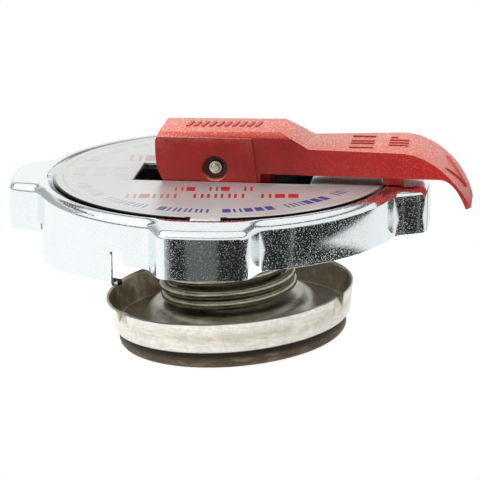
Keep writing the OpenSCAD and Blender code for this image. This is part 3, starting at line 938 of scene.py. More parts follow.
def new_tree(name, kind, inputs, outputs):
    """A node group with named inputs and outputs; returns it with its inputs' sockets and its output node."""
    tree = bpy.data.node_groups.new(name, kind)
    for label, socket in inputs:
        tree.interface.new_socket(label, in_out="INPUT", socket_type=socket)
    for label, socket in outputs:
        tree.interface.new_socket(label, in_out="OUTPUT", socket_type=socket)
    return tree, tree.nodes.new("NodeGroupInput").outputs, tree.nodes.new("NodeGroupOutput")


# Node trees that make geometry


def grow(name, tree, values, source=None):
    """Runs a geometry tree on an object and leaves a plain mesh of the result."""
    made = source
    if made is None:
        made = placed(name, bpy.data.meshes.new(name))
    grower = made.modifiers.new("grow", "NODES")
    grower.node_group = tree
    for item in tree.interface.items_tree:
        if item.in_out == "INPUT" and item.name in values:
            grower[item.identifier] = values[item.name]
    mesh = plain_mesh(made)
    mesh.name = name
    bpy.data.objects.remove(made)
    mesh.set_sharp_from_angle(angle=math.radians(TURNED_SHARP_DEG))
    return placed(name, mesh)


def sweep(tree, path, section, material, result):
    """Ends a tree: a section swept along a path, smooth, real and with its material."""
    swept = add_node(tree, "GeometryNodeCurveToMesh", {
        "Curve": path, "Profile Curve": section, "Fill Caps": True,
    })
    smooth = add_node(tree, "GeometryNodeSetShadeSmooth", {"Geometry": swept.outputs[0]})
    real = add_node(tree, "GeometryNodeRealizeInstances", {"Geometry": smooth.outputs[0]})
    painted = add_node(tree, "GeometryNodeSetMaterial", {"Geometry": real.outputs[0], "Material": material})
    tree.links.new(painted.outputs[0], result.inputs[0])


def spaced_out(tree, curve, count):
    inputs = {"Curve": curve, "Count": count}
    return add_node(tree, "GeometryNodeResampleCurve", inputs, mode="COUNT").outputs[0]


def make_coil_tree():
    """A coil spring: closed turns, open turns and closed turns again, leaning more towards its foot."""
    wire_sides = 20
    tree, value, result = new_tree("coil", "GeometryNodeTree", numbers(
        "From turn", "To turn", "First angle", "Mean radius", "Wire radius", "Low", "High", "Closed pitch",
        "Open pitch", "Closed turns", "Open turns", "Lean at foot", "Lean at head", "Pin height",
    ) + [("Points", WHOLE_NUMBER), ("Material", MATERIAL)], [("Geometry", GEOMETRY)])
    line = add_node(tree, "GeometryNodeCurvePrimitiveLine").outputs[0]
    spaced = spaced_out(tree, line, value["Points"])
    share = add_node(tree, "GeometryNodeSplineParameter").outputs["Factor"]
    span = maths(tree, "SUBTRACT", value["To turn"], value["From turn"])
    turn = maths(tree, "MULTIPLY_ADD", share, span, value["From turn"])
    past_foot = maths(tree, "SUBTRACT", turn, value["Closed turns"])
    opened = maths(tree, "MINIMUM", maths(tree, "MAXIMUM", past_foot, 0.0), value["Open turns"])
    closed = maths(tree, "SUBTRACT", turn, opened)
    rise = maths(tree, "MULTIPLY_ADD", closed, value["Closed pitch"], value["Low"])
    height = maths(tree, "MULTIPLY_ADD", opened, value["Open pitch"], rise)
    angle = maths(tree, "MULTIPLY_ADD", turn, WHOLE_TURN, value["First angle"])
    x = maths(tree, "MULTIPLY", maths(tree, "COSINE", angle), value["Mean radius"])
    y = maths(tree, "MULTIPLY", maths(tree, "SINE", angle), value["Mean radius"])
    spot = add_node(tree, "ShaderNodeCombineXYZ", {"X": x, "Y": y, "Z": height}).outputs[0]
    lean = mapped(tree, height, value["Low"], value["High"], value["Lean at foot"], value["Lean at head"])
    pin = add_node(tree, "ShaderNodeCombineXYZ", {"Z": value["Pin height"]}).outputs[0]
    swung = add_node(tree, "ShaderNodeVectorRotate", {
        "Vector": spot, "Center": pin, "Angle": maths(tree, "MULTIPLY", lean, -1.0),
    }, rotation_type="Y_AXIS").outputs[0]
    path = add_node(tree, "GeometryNodeSetPosition", {"Geometry": spaced, "Position": swung}).outputs[0]
    wire = add_node(tree, "GeometryNodeCurvePrimitiveCircle", {
        "Resolution": wire_sides, "Radius": value["Wire radius"],
    }).outputs[0]
    sweep(tree, path, wire, value["Material"], result)
    return tree


def make_bar_tree():
    """Raised bars that lie along the top of the lever, from lines drawn above it."""
    points, ray_length = 9, 100
    tree, value, result = new_tree("raised bars", "GeometryNodeTree", [
        ("Lines", GEOMETRY), ("Lever", OBJECT), *numbers("Width", "Height"), ("Material", MATERIAL),
    ], [("Geometry", GEOMETRY)])
    lines = add_node(tree, "GeometryNodeMeshToCurve", {"Mesh": value["Lines"]}).outputs[0]
    spaced = spaced_out(tree, lines, points)
    top = add_node(tree, "GeometryNodeObjectInfo", {"Object": value["Lever"]}, transform_space="ORIGINAL")
    fall = add_node(tree, "GeometryNodeRaycast", {
        "Target Geometry": top.outputs["Geometry"],
        "Source Position": add_node(tree, "GeometryNodeInputPosition").outputs[0],
        "Ray Direction": (0, 0, -1), "Ray Length": ray_length * MM,
    })
    laid = add_node(tree, "GeometryNodeSetPosition", {
        "Geometry": spaced, "Position": fall.outputs["Hit Position"],
    }).outputs[0]
    level = add_node(tree, "GeometryNodeSetCurveNormal", {"Curve": laid}, mode="Z_UP").outputs[0]
    section = add_node(tree, "GeometryNodeCurvePrimitiveQuadrilateral", {
        "Width": value["Width"], "Height": maths(tree, "MULTIPLY", value["Height"], 2.0),
    }).outputs[0]
    sweep(tree, level, section, value["Material"], result)
    return tree


# Effects that finishes share


def noise(tree, vector, scale, detail, roughness=0.5):
    return add_node(tree, "ShaderNodeTexNoise", {
        "Vector": vector, "Scale": scale, "Detail": detail, "Roughness": roughness,
    }).outputs["Fac"]


def make_speckle_group():
    """Fine bright and dark grains, as on plated or grained surfaces."""
    tree, value, result = new_tree(
        "speckle", "ShaderNodeTree", [("Vector", VECTOR), *numbers("Scale", "Low", "High")],
        numbers("Mask", "Height"))
    grain = noise(tree, value["Vector"], value["Scale"], detail=2.0, roughness=0.65)
    mask = mapped(tree, grain, value["Low"], value["High"], ease="SMOOTHSTEP")
    tree.links.new(mask, result.inputs["Mask"])
    tree.links.new(grain, result.inputs["Height"])
    return tree


def make_scuff_group():
    """Long thin rubs in one direction, broken up by patches."""
    patch_base = 0.5
    tree, value, result = new_tree(
        "scuffs", "ShaderNodeTree",
        [("Vector", VECTOR), ("Stretch", VECTOR), *numbers("Patch scale", "Low", "High")],
        numbers("Mask", "Patch"))
    drawn = add_node(tree, "ShaderNodeVectorMath", {
        0: value["Vector"], 1: value["Stretch"],
    }, operation="MULTIPLY").outputs[0]
    streaks = noise(tree, drawn, 1.0, detail=3.0, roughness=0.7)
    patches = noise(tree, value["Vector"], value["Patch scale"], detail=4.0)
    both = maths(tree, "MULTIPLY", streaks, maths(tree, "ADD", patches, patch_base))
    mask = mapped(tree, both, value["Low"], value["High"], ease="SMOOTHSTEP")
    tree.links.new(mask, result.inputs["Mask"])
    tree.links.new(patches, result.inputs["Patch"])
    return tree


def make_print_group():
    """A row of printed marks, each a plain block or a pair of bars, with a gap after each group."""
    block_half, bar_from, block_share, gap_from_end = 0.38, 0.17, 0.4, 1.5
    tree, value, result = new_tree("print row", "ShaderNodeTree", numbers(
        "Along", "Across", "Start", "End", "Middle", "Height", "Pitch", "Word"), numbers("Mask"))
    cell = maths(tree, "DIVIDE", maths(tree, "SUBTRACT", value["Along"], value["Start"]), value["Pitch"])
    number = maths(tree, "FLOOR", cell)
    chance = add_node(tree, "ShaderNodeTexWhiteNoise", {"W": number}, noise_dimensions="1D").outputs["Value"]
    side = maths(tree, "ABSOLUTE", maths(tree, "SUBTRACT", maths(tree, "FRACT", cell), 0.5))
    tall = maths(tree, "DIVIDE", maths(tree, "SUBTRACT", value["Across"], value["Middle"]), value["Height"])
    bars = maths(tree, "GREATER_THAN", side, bar_from)
    gap = maths(tree, "GREATER_THAN", maths(tree, "MODULO", number, value["Word"]),
                maths(tree, "SUBTRACT", value["Word"], gap_from_end))
    shown = times(
        tree,
        maths(tree, "LESS_THAN", side, block_half),
        maths(tree, "LESS_THAN", maths(tree, "ABSOLUTE", tall), 0.5),
        largest(tree, bars, maths(tree, "LESS_THAN", chance, block_share)),
        maths(tree, "SUBTRACT", 1.0, gap),
        maths(tree, "GREATER_THAN", value["Along"], value["Start"]),
        maths(tree, "LESS_THAN", value["Along"], value["End"]),
    )
    tree.links.new(shown, result.inputs["Mask"])
    return tree


speckle = make_speckle_group()
scuffs = make_scuff_group()
print_row = make_print_group()


# Finishes


def new_material(name, **sockets):
    """A material with a Principled shader, and its steady values set on the shader itself."""
    material = bpy.data.materials.new(name)
    material.use_nodes = True
    tree = material.node_tree
    shader = tree.nodes["Principled BSDF"]
    for key, value in sockets.items():
        shader.inputs[key.replace("_", " ")].default_value = value
    place = add_node(tree, "ShaderNodeTexCoord").outputs["Object"]
    return material, tree, shader, place


def feed(tree, shader, **sources):
    """Links what changes over the surface to the shader's inputs."""
    for key, source in sources.items():
        tree.links.new(source, shader.inputs[key.replace("_", " ")])


def use_group(tree, group, **inputs):
    named = {key.replace("_", " "): value for key, value in inputs.items()}
    return add_node(tree, "ShaderNodeGroup", named, node_tree=group).outputs


def grains(tree, place, per_mm, low, high):
    """Speckle with a number of grains to the millimetre."""
    return use_group(tree, speckle, Vector=place, Scale=per_mm * PER_MM, Low=low, High=high)


def rubs(tree, place, per_mm, patches, low, high):
    """Scuffs with a number of rubs to the millimetre along each axis."""
    stretch = tuple(count * PER_MM for count in per_mm)
    return use_group(tree, scuffs, Vector=place, Stretch=stretch, Patch_scale=patches, Low=low, High=high)


def printed(tree, along, across_row, row):
    """A row of print from its start, end, middle, height, pitch and blocks to a word."""
    start, end, middle, height, pitch, word = row
    return use_group(
        tree, print_row, Along=along, Across=across_row, Start=start * MM, End=end * MM, Middle=middle * MM,
        Height=height * MM, Pitch=pitch * MM, Word=word)["Mask"]


def mixed(tree, share, first, second):
    """Two colours mixed by a share from 0 to 1."""
    ends = [end if isinstance(end, bpy.types.NodeSocket) else (*end, 1) for end in (first, second)]
    return add_node(tree, "ShaderNodeMix", {0: share, 6: ends[0], 7: ends[1]}, data_type="RGBA").outputs[2]


def between(tree, share, low, high):
    """A value between two others by a share from 0 to 1."""
    return mapped(tree, share, 0.0, 1.0, low, high)


def window(tree, value, start, end, soft_by):
    """One between two values, with soft ends."""
    rise = mapped(tree, value, start - soft_by, start + soft_by, ease="SMOOTHSTEP")
    fall = mapped(tree, value, end - soft_by, end + soft_by, 1.0, 0.0, ease="SMOOTHSTEP")
    return maths(tree, "MULTIPLY", rise, fall)


def band(tree, value, start, end, soft_by):
    """One between two lengths, with soft ends."""
    return window(tree, value, start * MM, end * MM, soft_by * MM)


def bump(tree, height, strength, depth):
    inputs = {"Height": height, "Strength": strength, "Distance": depth * MM}
    return add_node(tree, "ShaderNodeBump", inputs).outputs[0]


def off_centre(tree, parts, middle):
    """Distance from an upright line at a middle other than the axis."""
    away = [maths(tree, "SUBTRACT", part, shift * MM) for part, shift in zip(parts, middle)]
    return diagonal(tree, *away)


# Where the painted shadow in the seam round the label starts and is darkest, towards the front and the back
SEAM_SHADOW_FRONT_Y = (-3, -13)
SEAM_SHADOW_BACK_Y = (3, 8)


def seam_shadow_depth(tree, y, at_back):
    """How dark the painted shadow in the seam round the label is.

    It is none at the left and right ends, full at the front, and a share at the back.
    """
    front = mapped(tree, y, SEAM_SHADOW_FRONT_Y[0] * MM, SEAM_SHADOW_FRONT_Y[1] * MM)
    back = mapped(tree, y, SEAM_SHADOW_BACK_Y[0] * MM, SEAM_SHADOW_BACK_Y[1] * MM, to_high=at_back)
    return maths(tree, "MAXIMUM", front, back)


# Zinc plate
ZINC_DARK = (0.80, 0.845, 0.85)
ZINC_LIGHT = (0.90, 0.935, 0.94)
ZINC_TINT = (0.80, 0.87, 0.90)
ZINC_TINT_SHARE = 0.35
ZINC_SPARKLE_POWER = 3.0
# Painted shadow: a near-black ring in the seam round the label, darkest at the front
ZINC_SEAM_SHADOW = (0.008, 0.009, 0.009)
ZINC_SEAM_SHADOW_MIDDLE = (-0.30, -0.42)
ZINC_SEAM_SHADOW_R = (29.0, 30.8)
ZINC_SEAM_SHADOW_BELOW = 0.1


def make_zinc():
    """Bright zinc plate with a fine crystalline sparkle, and painted shadow in the seam round the label."""
    material, tree, shader, place = new_material("zinc_plate", Metallic=1.0)
    fine = grains(tree, place, per_mm=4.6, low=0.38, high=0.68)
    broad = grains(tree, place, per_mm=0.12, low=0.35, high=0.7)
    parts = split(tree, place)
    off_middle = off_centre(tree, parts, ZINC_SEAM_SHADOW_MIDDLE)
    in_recess = maths(tree, "LESS_THAN", parts[2], (SHELL_TOP - ZINC_SEAM_SHADOW_BELOW) * MM)
    # Painted shadow in the seam round the label, none at its left and right ends
    seam_shadow = times(tree, band(tree, off_middle, *ZINC_SEAM_SHADOW_R, soft_by=0.03), in_recess,
                 seam_shadow_depth(tree, parts[1], at_back=0.0))
    plate = mixed(tree, fine["Mask"], ZINC_DARK, ZINC_LIGHT)
    tinted = mixed(tree, times(tree, broad["Mask"], ZINC_TINT_SHARE), plate, ZINC_TINT)
    sparkle = maths(tree, "POWER", fine["Mask"], ZINC_SPARKLE_POWER)
    feed(tree, shader, Base_Color=mixed(tree, seam_shadow, tinted, ZINC_SEAM_SHADOW),
         Roughness=between(tree, sparkle, low=0.05, high=0.40),
         Normal=bump(tree, fine["Height"], strength=0.05, depth=0.05))
    return material


# Rows of print on the label: start, end, middle, height, pitch and blocks to a word
PRINT_TURN = math.radians(5.9)
PRINT_ARC_R = 25.6
RED_ROWS = (
    (-7.8, 6.6, -11.2, 2.7, 2.05, 3.0),
    (-16.2, 14.8, -15.9, 2.7, 2.38, 5.0),
    (-17.5, -12.0, 11.0, 4.2, 2.9, 9.0),
)
BLUE_ARC = (math.radians(-158) * PRINT_ARC_R, math.radians(-23) * PRINT_ARC_R, PRINT_ARC_R, 2.3, 1.9, 6.0)
GREY_ARC = (math.radians(112) * PRINT_ARC_R, math.radians(168) * PRINT_ARC_R, PRINT_ARC_R, 2.3, 1.9, 7.0)
GREY_ROWS = [(-3.4, 4.0, middle, 2.4, 1.5, 9.0) for middle in (-25.4, -21.8, -18.2)]

# Label metal
SATIN_DARK = (0.70, 0.705, 0.69)
SATIN_LIGHT = (0.80, 0.805, 0.79)
RED_INK = (0.38, 0.009, 0.013)
BLUE_INK = (0.03, 0.028, 0.19)
GREY_INK = (0.30, 0.33, 0.42)
GREY_SHARE = 0.3
# Painted reflection: the print pales towards the left, where it mirrors the bright studio
WASHED_PRINT_SHARE = 0.22
WASHOUT_FROM_X = -20
WASHOUT_TO_X = -4
# Painted shade: a grey ring where the label's edge starts to roll
ROLLED_EDGE_SHADE = (0.30, 0.33, 0.33)
ROLLED_SHADE_R = (28.75, 28.95)
ROLLED_SHADE_SHARE = 0.45
# Painted shadow in the seam at the label's edge and beside its tabs
LABEL_SEAM_SHADOW = (0.006, 0.007, 0.007)
LABEL_SHADE_MIDDLE = (0.365, 0.295)
LABEL_SHADOW_R = 30.28
TAB_SHADOW_R = 29.6
TAB_SHADOW_TURN = 0.035
PAST_EDGE = 40
RUBBED_X = (SLOT_FRONT, 30)
RUBBED_Y = (-6, 7)


def make_label_finish():
    """Satin metal with rows of print in red, blue and faint grey, rubbed smooth under the lever's arm, with
    painted shadow round its edge and a painted reflection paling the print to the left.
    """
    material, tree, shader, place = new_material("label_metal")
    parts = split(tree, place)
    x, y = parts[0], parts[1]
    radius = diagonal(tree, x, y)
    turn = maths(tree, "ARCTAN2", y, x)
    straight = add_node(tree, "ShaderNodeVectorRotate", {
        "Vector": place, "Angle": -PRINT_TURN,
    }, rotation_type="Z_AXIS").outputs[0]
    u, v, _ = split(tree, straight)
    along_arc = maths(tree, "MULTIPLY", turn, PRINT_ARC_R * MM)
    red = largest(tree, *[printed(tree, u, v, row) for row in RED_ROWS])
    blue = printed(tree, along_arc, radius, BLUE_ARC)
    grey = largest(tree, printed(tree, along_arc, radius, GREY_ARC),
                   *[printed(tree, v, u, row) for row in GREY_ROWS])
    # Painted reflection: print paler towards the left
    kept = mapped(tree, x, WASHOUT_FROM_X * MM, WASHOUT_TO_X * MM, WASHED_PRINT_SHARE, 1.0)
    satin = rubs(tree, place, per_mm=(0.5, 4, 1), patches=60.0, low=0.3, high=0.8)
    tone = mixed(tree, satin["Mask"], SATIN_DARK, SATIN_LIGHT)
    tone = mixed(tree, times(tree, red, kept), tone, RED_INK)
    tone = mixed(tree, times(tree, blue, kept), tone, BLUE_INK)
    tone = mixed(tree, times(tree, grey, GREY_SHARE), tone, GREY_INK)
    off_middle = off_centre(tree, parts, LABEL_SHADE_MIDDLE)
    depth = seam_shadow_depth(tree, y, at_back=0.7)
    from_tab = maths(tree, "PINGPONG", maths(tree, "SUBTRACT", turn, LUG_TURN - WHOLE_TURN), SECTOR / 2)
    off_tab = maths(tree, "GREATER_THAN", from_tab, TAB_HALF_TURN)
    # Painted shadow at the label's edge and beside its tabs, strongest at the front
    edge_shadow = times(tree, band(tree, off_middle, LABEL_SHADOW_R, PAST_EDGE, soft_by=0.05), off_tab, depth)
    beside_tab = window(tree, from_tab, TAB_HALF_TURN, TAB_HALF_TURN + TAB_SHADOW_TURN, soft_by=0.004)
    tab_shadow = times(tree, beside_tab, band(tree, radius, TAB_SHADOW_R, PAST_EDGE, soft_by=0.05), depth)
    # Painted shade in a grey ring where the label's edge starts to roll
    rolled_shade = times(tree, band(tree, off_middle, *ROLLED_SHADE_R, soft_by=0.1), ROLLED_SHADE_SHARE, off_tab)
    tone = mixed(tree, rolled_shade, tone, ROLLED_EDGE_SHADE)
    tone = mixed(tree, largest(tree, edge_shadow, tab_shadow), tone, LABEL_SEAM_SHADOW)
    inked = times(tree, largest(tree, red, blue, grey), kept)
    rubbed = times(tree, band(tree, x, *RUBBED_X, soft_by=0.5), band(tree, y, *RUBBED_Y, soft_by=0.4))
    feed(tree, shader, Base_Color=tone, Metallic=between(tree, inked, low=0.80, high=0.0),
         Roughness=between(tree, rubbed, low=0.41, high=0.12),
         Normal=bump(tree, satin["Mask"], strength=0.06, depth=0.02))
    return material


# Lever plastic
LEVER_RED = (0.27, 0.010, 0.0072)
LEVER_DARK = (0.215, 0.0075, 0.0058)
# Share of painted sheen on the lever's upward faces
LEVER_TOP_SHEEN = 0.50
MARK_RED = (0.15, 0.006, 0.005)
MARK_DARK = (0.12, 0.004, 0.004)
# Share of painted sheen on the raised marks' upward faces
MARK_TOP_SHEEN = 0.16
# Painted light: the lever is brighter towards its thumb end
LIT_THUMB_RED = (0.56, 0.020, 0.015)
LIT_THUMB_X = (12, 40)
LIT_THUMB_SHARE = 0.8
# Painted highlight: a lighter band across the upper front of the lever's head
BROW_HIGHLIGHT_RED = (0.50, 0.020, 0.015)
BROW_HIGHLIGHT_Z = (PIN_Z + 5.75, PIN_Z + 9)
BROW_HIGHLIGHT_END_X = 17.5
BROW_HIGHLIGHT_SHARE = 0.75
# Painted shade in the hollow round the lever pin
HOLLOW_SHADE_RED = (0.016, 0.002, 0.0015)
HOLLOW_SHADE_R = 2.15
HOLLOW_SHADE_SHARE = 0.9
SPARK_PINK = (0.85, 0.25, 0.22)
SPARK_SHARES = (0.02, 0.17)
# Painted sheen: pink on faces that look upwards
SHEEN_PINK = (0.88, 0.37, 0.28)
SHEEN_UPWARD = (0.15, 0.85)
SHEEN_SHARES = (0.66, 1.95)


def make_lever_finish(name, colour, dark, top_sheen_share):
    """Red moulding with a fine sparked grain, a painted pink sheen on its upward faces, painted light at its thumb
    end, a painted highlight across its head and painted shade round its pin.
    """
    material, tree, shader, place = new_material(name, IOR=1.5, Specular_IOR_Level=0.32)
    grain = grains(tree, place, per_mm=3.2, low=0.36, high=0.66)
    patch = grains(tree, place, per_mm=0.16, low=0.3, high=0.75)
    sparks = grains(tree, place, per_mm=3.0, low=0.50, high=0.63)["Mask"]
    parts = split(tree, place)
    x, z = parts[0], parts[2]
    # Painted light, brighter towards the thumb end
    lit_thumb = mapped(tree, x, LIT_THUMB_X[0] * MM, LIT_THUMB_X[1] * MM, to_high=LIT_THUMB_SHARE)
    # Painted highlight band across the upper front of the head
    brow_highlight = times(tree, band(tree, z, *BROW_HIGHLIGHT_Z, soft_by=0.12), maths(tree, "LESS_THAN", x, BROW_HIGHLIGHT_END_X * MM))
    from_pin = diagonal(tree, x, maths(tree, "SUBTRACT", z, PIN_Z * MM))
    # Painted shade round the pin
    hollow_shade = band(tree, from_pin, 0.0, HOLLOW_SHADE_R, soft_by=0.2)
    upward = split(tree, add_node(tree, "ShaderNodeTexCoord").outputs["Normal"])[2]
    # Painted sheen on upward faces, broken by the sparks
    top_sheen = mapped(tree, upward, *SHEEN_UPWARD, to_high=top_sheen_share, ease="SMOOTHSTEP")
    top_sheen = times(tree, top_sheen, between(tree, sparks, *SHEEN_SHARES))
    tone = mixed(tree, patch["Mask"], dark, colour)
    tone = mixed(tree, lit_thumb, tone, LIT_THUMB_RED)
    tone = mixed(tree, times(tree, brow_highlight, BROW_HIGHLIGHT_SHARE), tone, BROW_HIGHLIGHT_RED)
    tone = mixed(tree, times(tree, hollow_shade, HOLLOW_SHADE_SHARE), tone, HOLLOW_SHADE_RED)
    tone = mixed(tree, times(tree, sparks, between(tree, lit_thumb, *SPARK_SHARES)), tone, SPARK_PINK)
    feed(tree, shader, Base_Color=mixed(tree, top_sheen, tone, SHEEN_PINK),
         Roughness=between(tree, grain["Mask"], low=0.30, high=0.48),
         Normal=bump(tree, grain["Height"], strength=0.35, depth=0.10))
    return material


# Shares of grain and of rubs in the lightness of drawn or pressed metal
METAL_GRAIN_SHARE = 0.35
METAL_RUB_SHARE = 0.65


def make_metal(name, light, dark, rough, per_mm, patches, inside=None):
    """Drawn or pressed metal with rubs, patches and a fine grain, and a darker stained tone where marked for
    painted shade.
    """
    material, tree, shader, place = new_material(name, Metallic=1.0)
    worn = rubs(tree, place, per_mm, patches, low=0.28, high=0.72)
    grain = grains(tree, place, per_mm=1.6, low=0.35, high=0.65)
    lightness = maths(tree, "MULTIPLY_ADD", grain["Mask"], METAL_GRAIN_SHARE,
                      times(tree, worn["Mask"], METAL_RUB_SHARE))
    tone = mixed(tree, lightness, dark, light)
    if inside is not None:
        # The mark of painted shade, which takes the darker stained tone
        marked = add_node(tree, "ShaderNodeAttribute", attribute_name="inside").outputs["Fac"]
        stains = grains(tree, place, per_mm=0.35, low=0.42, high=0.72)
        tone = mixed(tree, marked, tone, mixed(tree, stains["Mask"], *inside))
    feed(tree, shader, Base_Color=tone, Roughness=between(tree, worn["Patch"], *rough),
         Normal=bump(tree, grain["Height"], strength=0.18, depth=0.06))
    return material


# Rubber
RUBBER_BROWN = (0.066, 0.050, 0.031)
RUBBER_RUBBED = (0.21, 0.17, 0.108)
RUBBER_GRAIN = (0.115, 0.09, 0.058)
RUBBER_GRAIN_SHARE = 0.3
# Painted shade at the seal's upper edge, under the cup's overhang
RUBBER_OVERHANG_SHADE = (0.018, 0.013, 0.008)


def make_rubber():
    """Brown-black moulded rubber with pale rubs, and painted shade where its upper edge is marked."""
    material, tree, shader, place = new_material("rubber", Specular_IOR_Level=0.12)
    worn = rubs(tree, place, per_mm=(0.25, 0.25, 1.2), patches=140.0, low=0.42, high=0.75)
    grain = grains(tree, place, per_mm=1.8, low=0.35, high=0.7)
    # The mark of painted shade under the cup's overhang
    upper = add_node(tree, "ShaderNodeAttribute", attribute_name="upper").outputs["Fac"]
    tone = mixed(tree, worn["Mask"], RUBBER_BROWN, RUBBER_RUBBED)
    tone = mixed(tree, times(tree, grain["Mask"], RUBBER_GRAIN_SHARE), tone, RUBBER_GRAIN)
    feed(tree, shader, Base_Color=mixed(tree, upper, tone, RUBBER_OVERHANG_SHADE),
         Roughness=between(tree, worn["Mask"], low=0.5, high=0.75),
         Normal=bump(tree, grain["Height"], strength=0.3, depth=0.08))
    return material


finishes = {
    "zinc_plate": make_zinc(),
    "label_metal": make_label_finish(),
    "lever_plastic": make_lever_finish("lever_plastic", LEVER_RED, LEVER_DARK, LEVER_TOP_SHEEN),
    "stainless": make_metal(
        "stainless", light=(0.73, 0.725, 0.665), dark=(0.50, 0.495, 0.44), rough=(0.26, 0.44),
        per_mm=(0.3, 0.3, 2.5), patches=260.0, inside=((0.30, 0.265, 0.185), (0.62, 0.56, 0.43))),
    "spring_steel": make_metal(
        "spring_steel", light=(0.58, 0.55, 0.43), dark=(0.34, 0.32, 0.24), rough=(0.22, 0.38),
        per_mm=(0.6, 0.6, 1.5), patches=200.0),
    "rubber": make_rubber(),
    "brass": make_metal(
        "brass", light=(0.76, 0.58, 0.30), dark=(0.55, 0.40, 0.19), rough=(0.22, 0.40),
        per_mm=(0.4, 0.4, 2.0), patches=220.0),
}
mark_finish = make_lever_finish("lever_mark", MARK_RED, MARK_DARK, MARK_TOP_SHEEN)


# Pieces, each in place of its node


def paint(piece, node):
    piece.data.materials.clear()
    piece.data.materials.append(finishes[SLOT_OF[node]])


def dress(piece, node, body):
    """Gives a piece its finish, and lets it ride on a body in place of a node."""
    paint(piece, node)
    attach(piece, body)
    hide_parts(node)


lever = soft_copy("vent_lever", "lever", width=0.38)
made_pieces = {
    "shell": make_shell(),
    "label_disc": make_label(),
    "lever": lever,
    "lever_pin": make_pin(),
    "stirrup": soft_copy("flat_stirrup", "stirrup", width=0.12),
    **make_cap_rings(),
    **make_valve_pieces(),
}
for node_name, made_piece in made_pieces.items():
    dress(made_piece, node_name, BODY_OF[node_name])
paint(frame["nodes"]["cam_pan"], "cam_pan")

# Pressure spring in three pieces: its foot turns ride on the valve, its middle turns stay where they are made, and
# its head turns ride on the cap
coil_tree = make_coil_tree()
WIRE_R = 0.9
SPRING_MEAN = 11.8
SPRING_ROOM = 0.12
SPRING_TURNS = 6.0
SPRING_START = math.radians(130)
CLOSED_FOOT = 1.9
CLOSED_HEAD = 0.9
BENDING_TURNS = 2.2
spring_low = PIN_Z - VALVE_L + SEAT_TOP + WIRE_R + SPRING_ROOM
spring_high = GASKET_TOP - WIRE_R - SPRING_ROOM
closed_pitch = 2 * WIRE_R + SPRING_ROOM / 2
open_turns = SPRING_TURNS - CLOSED_FOOT - CLOSED_HEAD
open_rise = spring_high - spring_low - (CLOSED_FOOT + CLOSED_HEAD) * closed_pitch
open_pitch = open_rise / open_turns
bend_turn = CLOSED_FOOT + BENDING_TURNS
spring_sizes = {
    "First angle": SPRING_START, "Mean radius": SPRING_MEAN * MM, "Wire radius": WIRE_R * MM,
    "Low": spring_low * MM, "High": spring_high * MM, "Closed pitch": closed_pitch * MM,
    "Open pitch": open_pitch * MM, "Closed turns": CLOSED_FOOT, "Open turns": open_turns,
    "Lean at foot": LEAN, "Lean at head": 0.0, "Pin height": PIN_Z * MM, "Material": finishes["spring_steel"],
}
closed_coils = grow("spring_foot_turns", coil_tree, {
    **spring_sizes, "From turn": 0.0, "To turn": CLOSED_FOOT, "Points": 120})
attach(closed_coils, "valve")
bending_coils = grow("spring_bending_turns", coil_tree, {
    **spring_sizes, "From turn": CLOSED_FOOT, "To turn": bend_turn, "Points": 140})
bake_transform(bending_coils)
head_coils = grow("spring_head_turns", coil_tree, {
    **spring_sizes, "From turn": bend_turn, "To turn": SPRING_TURNS, "Points": 120})
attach(head_coils, "cap")
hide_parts("pressure_spring")
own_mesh(head_coils)

# Vacuum spring, between the eyelet and the clip
VACUUM_MEAN = EYELET_BORE + 1
VACUUM_WIRE_R = 0.25
VACUUM_ROOM = 0.1
VACUUM_TURNS = 5.0
vacuum_low = PIN_Z - VALVE_L + EYELET_TOP + VACUUM_WIRE_R + VACUUM_ROOM
vacuum_high = PIN_Z - VALVE_L + CLIP_LOW - VACUUM_WIRE_R - VACUUM_ROOM
vacuum_coils = grow("vacuum_coil", coil_tree, {
    "From turn": 0.0, "To turn": VACUUM_TURNS, "Points": 200, "First angle": 0.0,
    "Mean radius": VACUUM_MEAN * MM, "Wire radius": VACUUM_WIRE_R * MM, "Low": vacuum_low * MM,
    "High": vacuum_high * MM, "Closed pitch": 0.0, "Closed turns": 0.0,
    "Open pitch": (vacuum_high - vacuum_low) / VACUUM_TURNS * MM, "Open turns": VACUUM_TURNS,
    "Lean at foot": LEAN, "Lean at head": LEAN, "Pin height": PIN_Z * MM,
    "Material": finishes["spring_steel"],
})
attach(vacuum_coils, "valve")
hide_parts("vacuum_spring")
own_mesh(vacuum_coils)

# Raised marks on the lever, as lines seen from above
MARK_WIDTH = 0.6
MARK_HEIGHT = 0.22
MARK_LINES_Z = PIN_Z + 20
HEAD_BARS = [((x, -1.3), (x + 0.5, 2.1)) for x in np.linspace(-5.6, 7.0, 10)]
ARM_BARS = [
    *[((24.0, y), (28.2, y)) for y in (-4.1, -0.9, 0.8, 4.2)],
    *[((30.9, y), (34.4, y)) for y in (-2.0, -0.2, 1.7)],
    ((31.0, 3.6), (32.2, 3.6)),
]
TIP_BARS = [((41.2, -4.2), (44.6, 0.0)), ((41.0, 4.2), (44.6, 0.0))]


def drawn_lines(name, lines):
    """Separate lines drawn well above the lever, each between two points."""
    ends = [(x, y, MARK_LINES_Z) for line in lines for x, y in line]
    return mesh_object(name, ends, [], [(2 * i, 2 * i + 1) for i in range(len(lines))])


bar_tree = make_bar_tree()
for mark_name, mark_lines in (("head_bars", HEAD_BARS), ("arm_bars", ARM_BARS), ("tip_chevron", TIP_BARS)):
    marks = grow(mark_name, bar_tree, {
        "Lever": lever, "Width": MARK_WIDTH * MM, "Height": MARK_HEIGHT * MM, "Material": mark_finish,
    }, drawn_lines(mark_name + "_lines", mark_lines))
    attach(marks, "lever")


# Studio: a white floor in the plane that the seal stands on, a bright sky and a soft light

FLOOR_R = 60.0
FLOOR_STEPS = 96
FLOOR_GAP = 0.05


